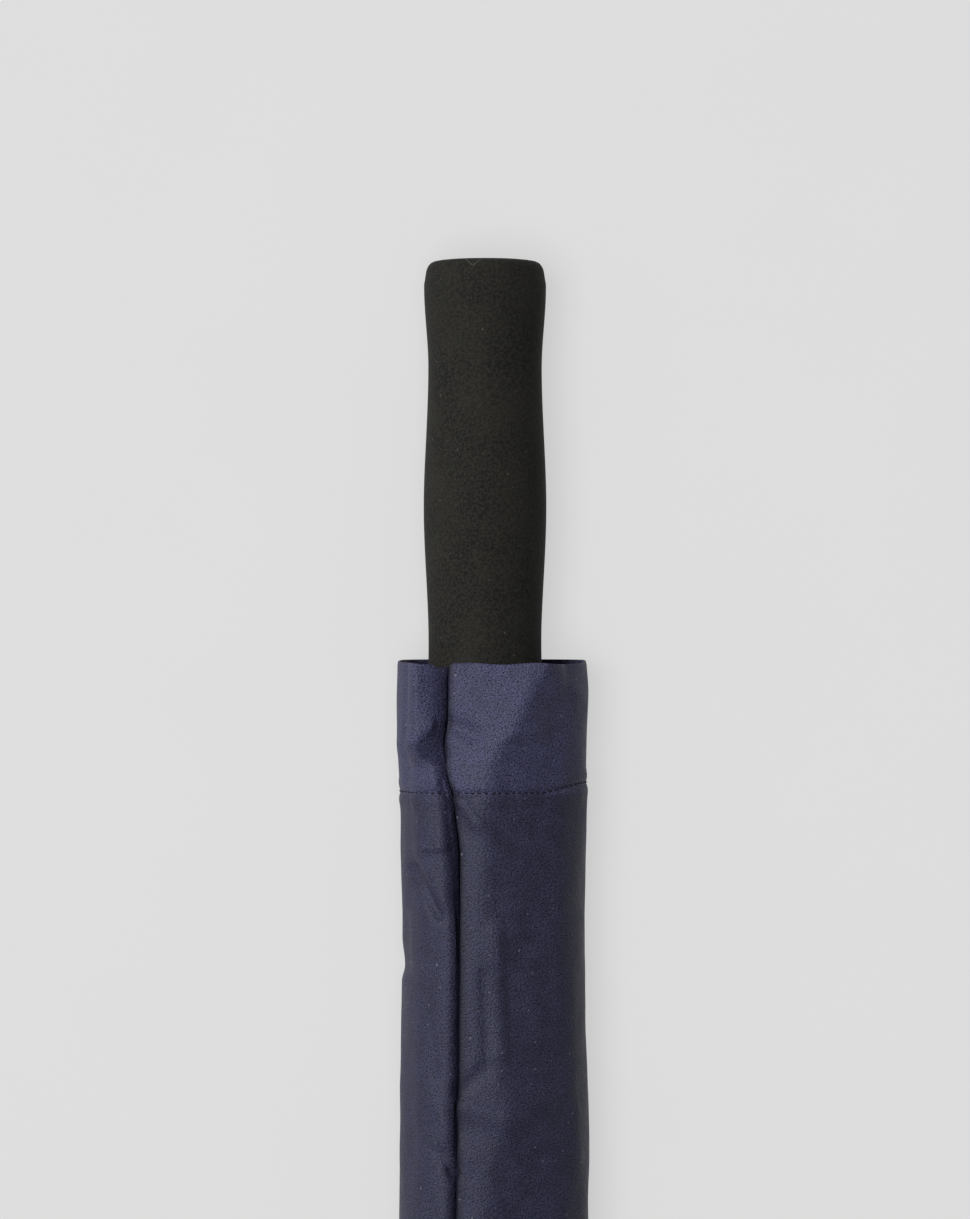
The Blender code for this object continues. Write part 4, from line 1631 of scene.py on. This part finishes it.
    def _sew(
        self,
        bench: Bench,
        s: dict[str, np.ndarray],
        line: float,
        name: str,
        thread: bpy.types.Material,
    ) -> bpy.types.Object:
        """Sews round the outside of the sleeve.

        Args:
            bench: Where the umbrella lies.
            s: The sleeve's shape.
            line: How far down the line of stitches runs.
            name: The piece's name.
            thread: The thread's material.

        Returns:
            The stitches.
        """
        i = int(np.argmin(np.abs(self._rows() - line)))
        side, down, height, out_x, out_z = (
            s[key][i, self.lip_column + 2 : 2 - self.tucked]
            for key in ("side", "down", "height", "out_x", "out_z")
        )
        out = np.stack([out_x, np.zeros(out_x.shape), out_z], 1)
        made = Stitching(name).build([(bench.place(side, down, height), out)], thread)
        settle(made, Body.SLEEVE, Slot.SLEEVE_CLOTH)
        return made


@dataclass
class Studio:
    """The pale floor, the soft lights and the camera over the grip.

    Attributes:
        middle: Distance down and side of the picture's middle, in millimetres
            from the grip's end and the sleeve's middle.
        tall: How much of the object's length the picture takes in.
        away: How far over the umbrella the camera hangs, in metres.
        half_floor: Half the floor's width, in metres.
        glow: How brightly the floor is lit from below.
        sky: How bright the room is.
    """

    middle: tuple[float, float] = (100.26, -2.41)
    tall: float = 0.3497
    away: float = 1.6
    half_floor: float = 6.0
    glow: float = 0.523
    sky: float = 0.16

    def _floor(self) -> bpy.types.Object:
        """A pale floor that is lit from below as well, like a light table.

        Returns:
            The floor.
        """
        mesh = Mesh()
        ends = (-self.half_floor, self.half_floor)
        mesh.grid(np.array([[(x, y, 0.0) for y in ends] for x in ends]))
        g = Graph("PaleFloor")
        grain = g.ramp(g.noise(g.place(), 0.05), 0.3, 0.7, (0.298, 0.302))
        tone = g.node("ShaderNodeCombineColor")
        for k in range(3):
            g.join(grain, tone.inputs[k])
        g.surface(
            base_color=tone.outputs[0],
            roughness=0.9,
            specular_ior_level=0.1,
            emission_color=(1.0, 1.0, 1.0),
            emission_strength=self.glow,
        )
        floor = mesh.build("floor", g.material)
        floor.data.flip_normals()
        return floor

    def _lamp(
        self, name: str, size: float, power: float, place: Place, aim: Place
    ) -> bpy.types.Object:
        """Hangs a round soft light.

        Args:
            name: The light's name.
            size: Its diameter, in metres.
            power: Its power, in watts.
            place: Where it hangs.
            aim: What it points at.

        Returns:
            The light.
        """
        data = bpy.data.lights.new(name, "AREA")
        data.shape = "DISK"
        data.size = size
        data.energy = power
        lamp = bpy.data.objects.new(name, data)
        lamp.location = place
        turn = Vector(aim) - Vector(place)
        lamp.rotation_euler = turn.to_track_quat("-Z", "Y").to_euler()
        bpy.context.scene.collection.objects.link(lamp)
        return lamp

    def build(self, bench: Bench) -> None:
        """Sets up the floor, the lights and the camera.

        Args:
            bench: Where the umbrella lies.
        """
        floor = self._floor()
        down, side = self.middle
        spot = bench.place(np.array(side), np.array(down), np.array(bench.axis_height))
        x, y, z = (float(v) for v in spot)
        # The overhead light is for the floor alone, the window's for the rest.
        above = self._lamp("overhead_light", 1.0, 15.0, (x - 0.22, y, 1.6), (x, y, 0.0))
        key = self._lamp("window_light", 1.1, 40.5, (x - 0.95, y + 0.4, 1.6), (x, y, 0.02))
        for lamp, state in ((above, "INCLUDE"), (key, "EXCLUDE")):
            lit = bpy.data.collections.new(f"lit_by_{lamp.name}")
            lit.objects.link(floor)
            lamp.light_linking.receiver_collection = lit
            lit.collection_objects[0].light_linking.link_state = state
        world = bpy.data.worlds.new("room")
        world.use_nodes = True
        sky = world.node_tree.nodes["Background"]
        sky.inputs["Color"].default_value = (1.0, 1.0, 1.0, 1.0)
        sky.inputs["Strength"].default_value = self.sky
        scene = bpy.context.scene
        scene.world = world
        scene.view_settings.view_transform = "Standard"
        lens = bpy.data.cameras.new("camera")
        lens.sensor_width = 36.0
        lens.lens = lens.sensor_width * self.away / self.tall
        lens.clip_end = 50.0
        camera = bpy.data.objects.new("camera", lens)
        camera.location = (x, y, z + self.away)
        scene.collection.objects.link(camera)
        scene.camera = camera


@dataclass
class HardPieces:
    """The frame's own hard pieces, each in the finish of its slot.

    Attributes:
        hidden: The nodes that made pieces stand for.
    """

    hidden: tuple[str, ...] = ("foam_grip", "sleeve", "canopy", "tie_strap", "canopy_washer")

    def dress(self) -> int:
        """Gives every hard node its finish and says how many there are.

        Returns:
            How many nodes were dressed.
        """
        made = {slot.value: finish.material() for slot, finish in HARD_FINISHES.items()}
        count = 0
        for part in frame["record"]["subparts"]:
            if part["node"] in self.hidden or part["material_slot"] not in made:
                continue
            node = frame["nodes"][part["node"]]
            node.data.materials.clear()
            node.data.materials.append(made[part["material_slot"]])
            count += 1
        return count


def main() -> None:
    """Builds the sub-assemblies in order and reports each piece."""
    logging.basicConfig(level=logging.INFO, format="%(name)s: %(message)s")
    bench = Bench()
    Studio().build(bench)
    LOG.info("hard pieces dressed: %d", HardPieces().dress())
    foam, cloth = GRIP_FOAM.material(), SLEEVE_CLOTH.material()
    thread, cover = SHADED_THREAD.material(), CANOPY_CLOTH.material()
    made = [FoamGrip().build(bench, foam), FurledCanopy().build(bench, cover)]
    made += [Rosette().build(bench, cover), *TieStrap().build(bench, cover, thread)]
    made += Sleeve().build(bench, cloth, thread)
    for piece in made:
        LOG.info("made %s", piece.name)


if __name__ == "__main__":
    main()
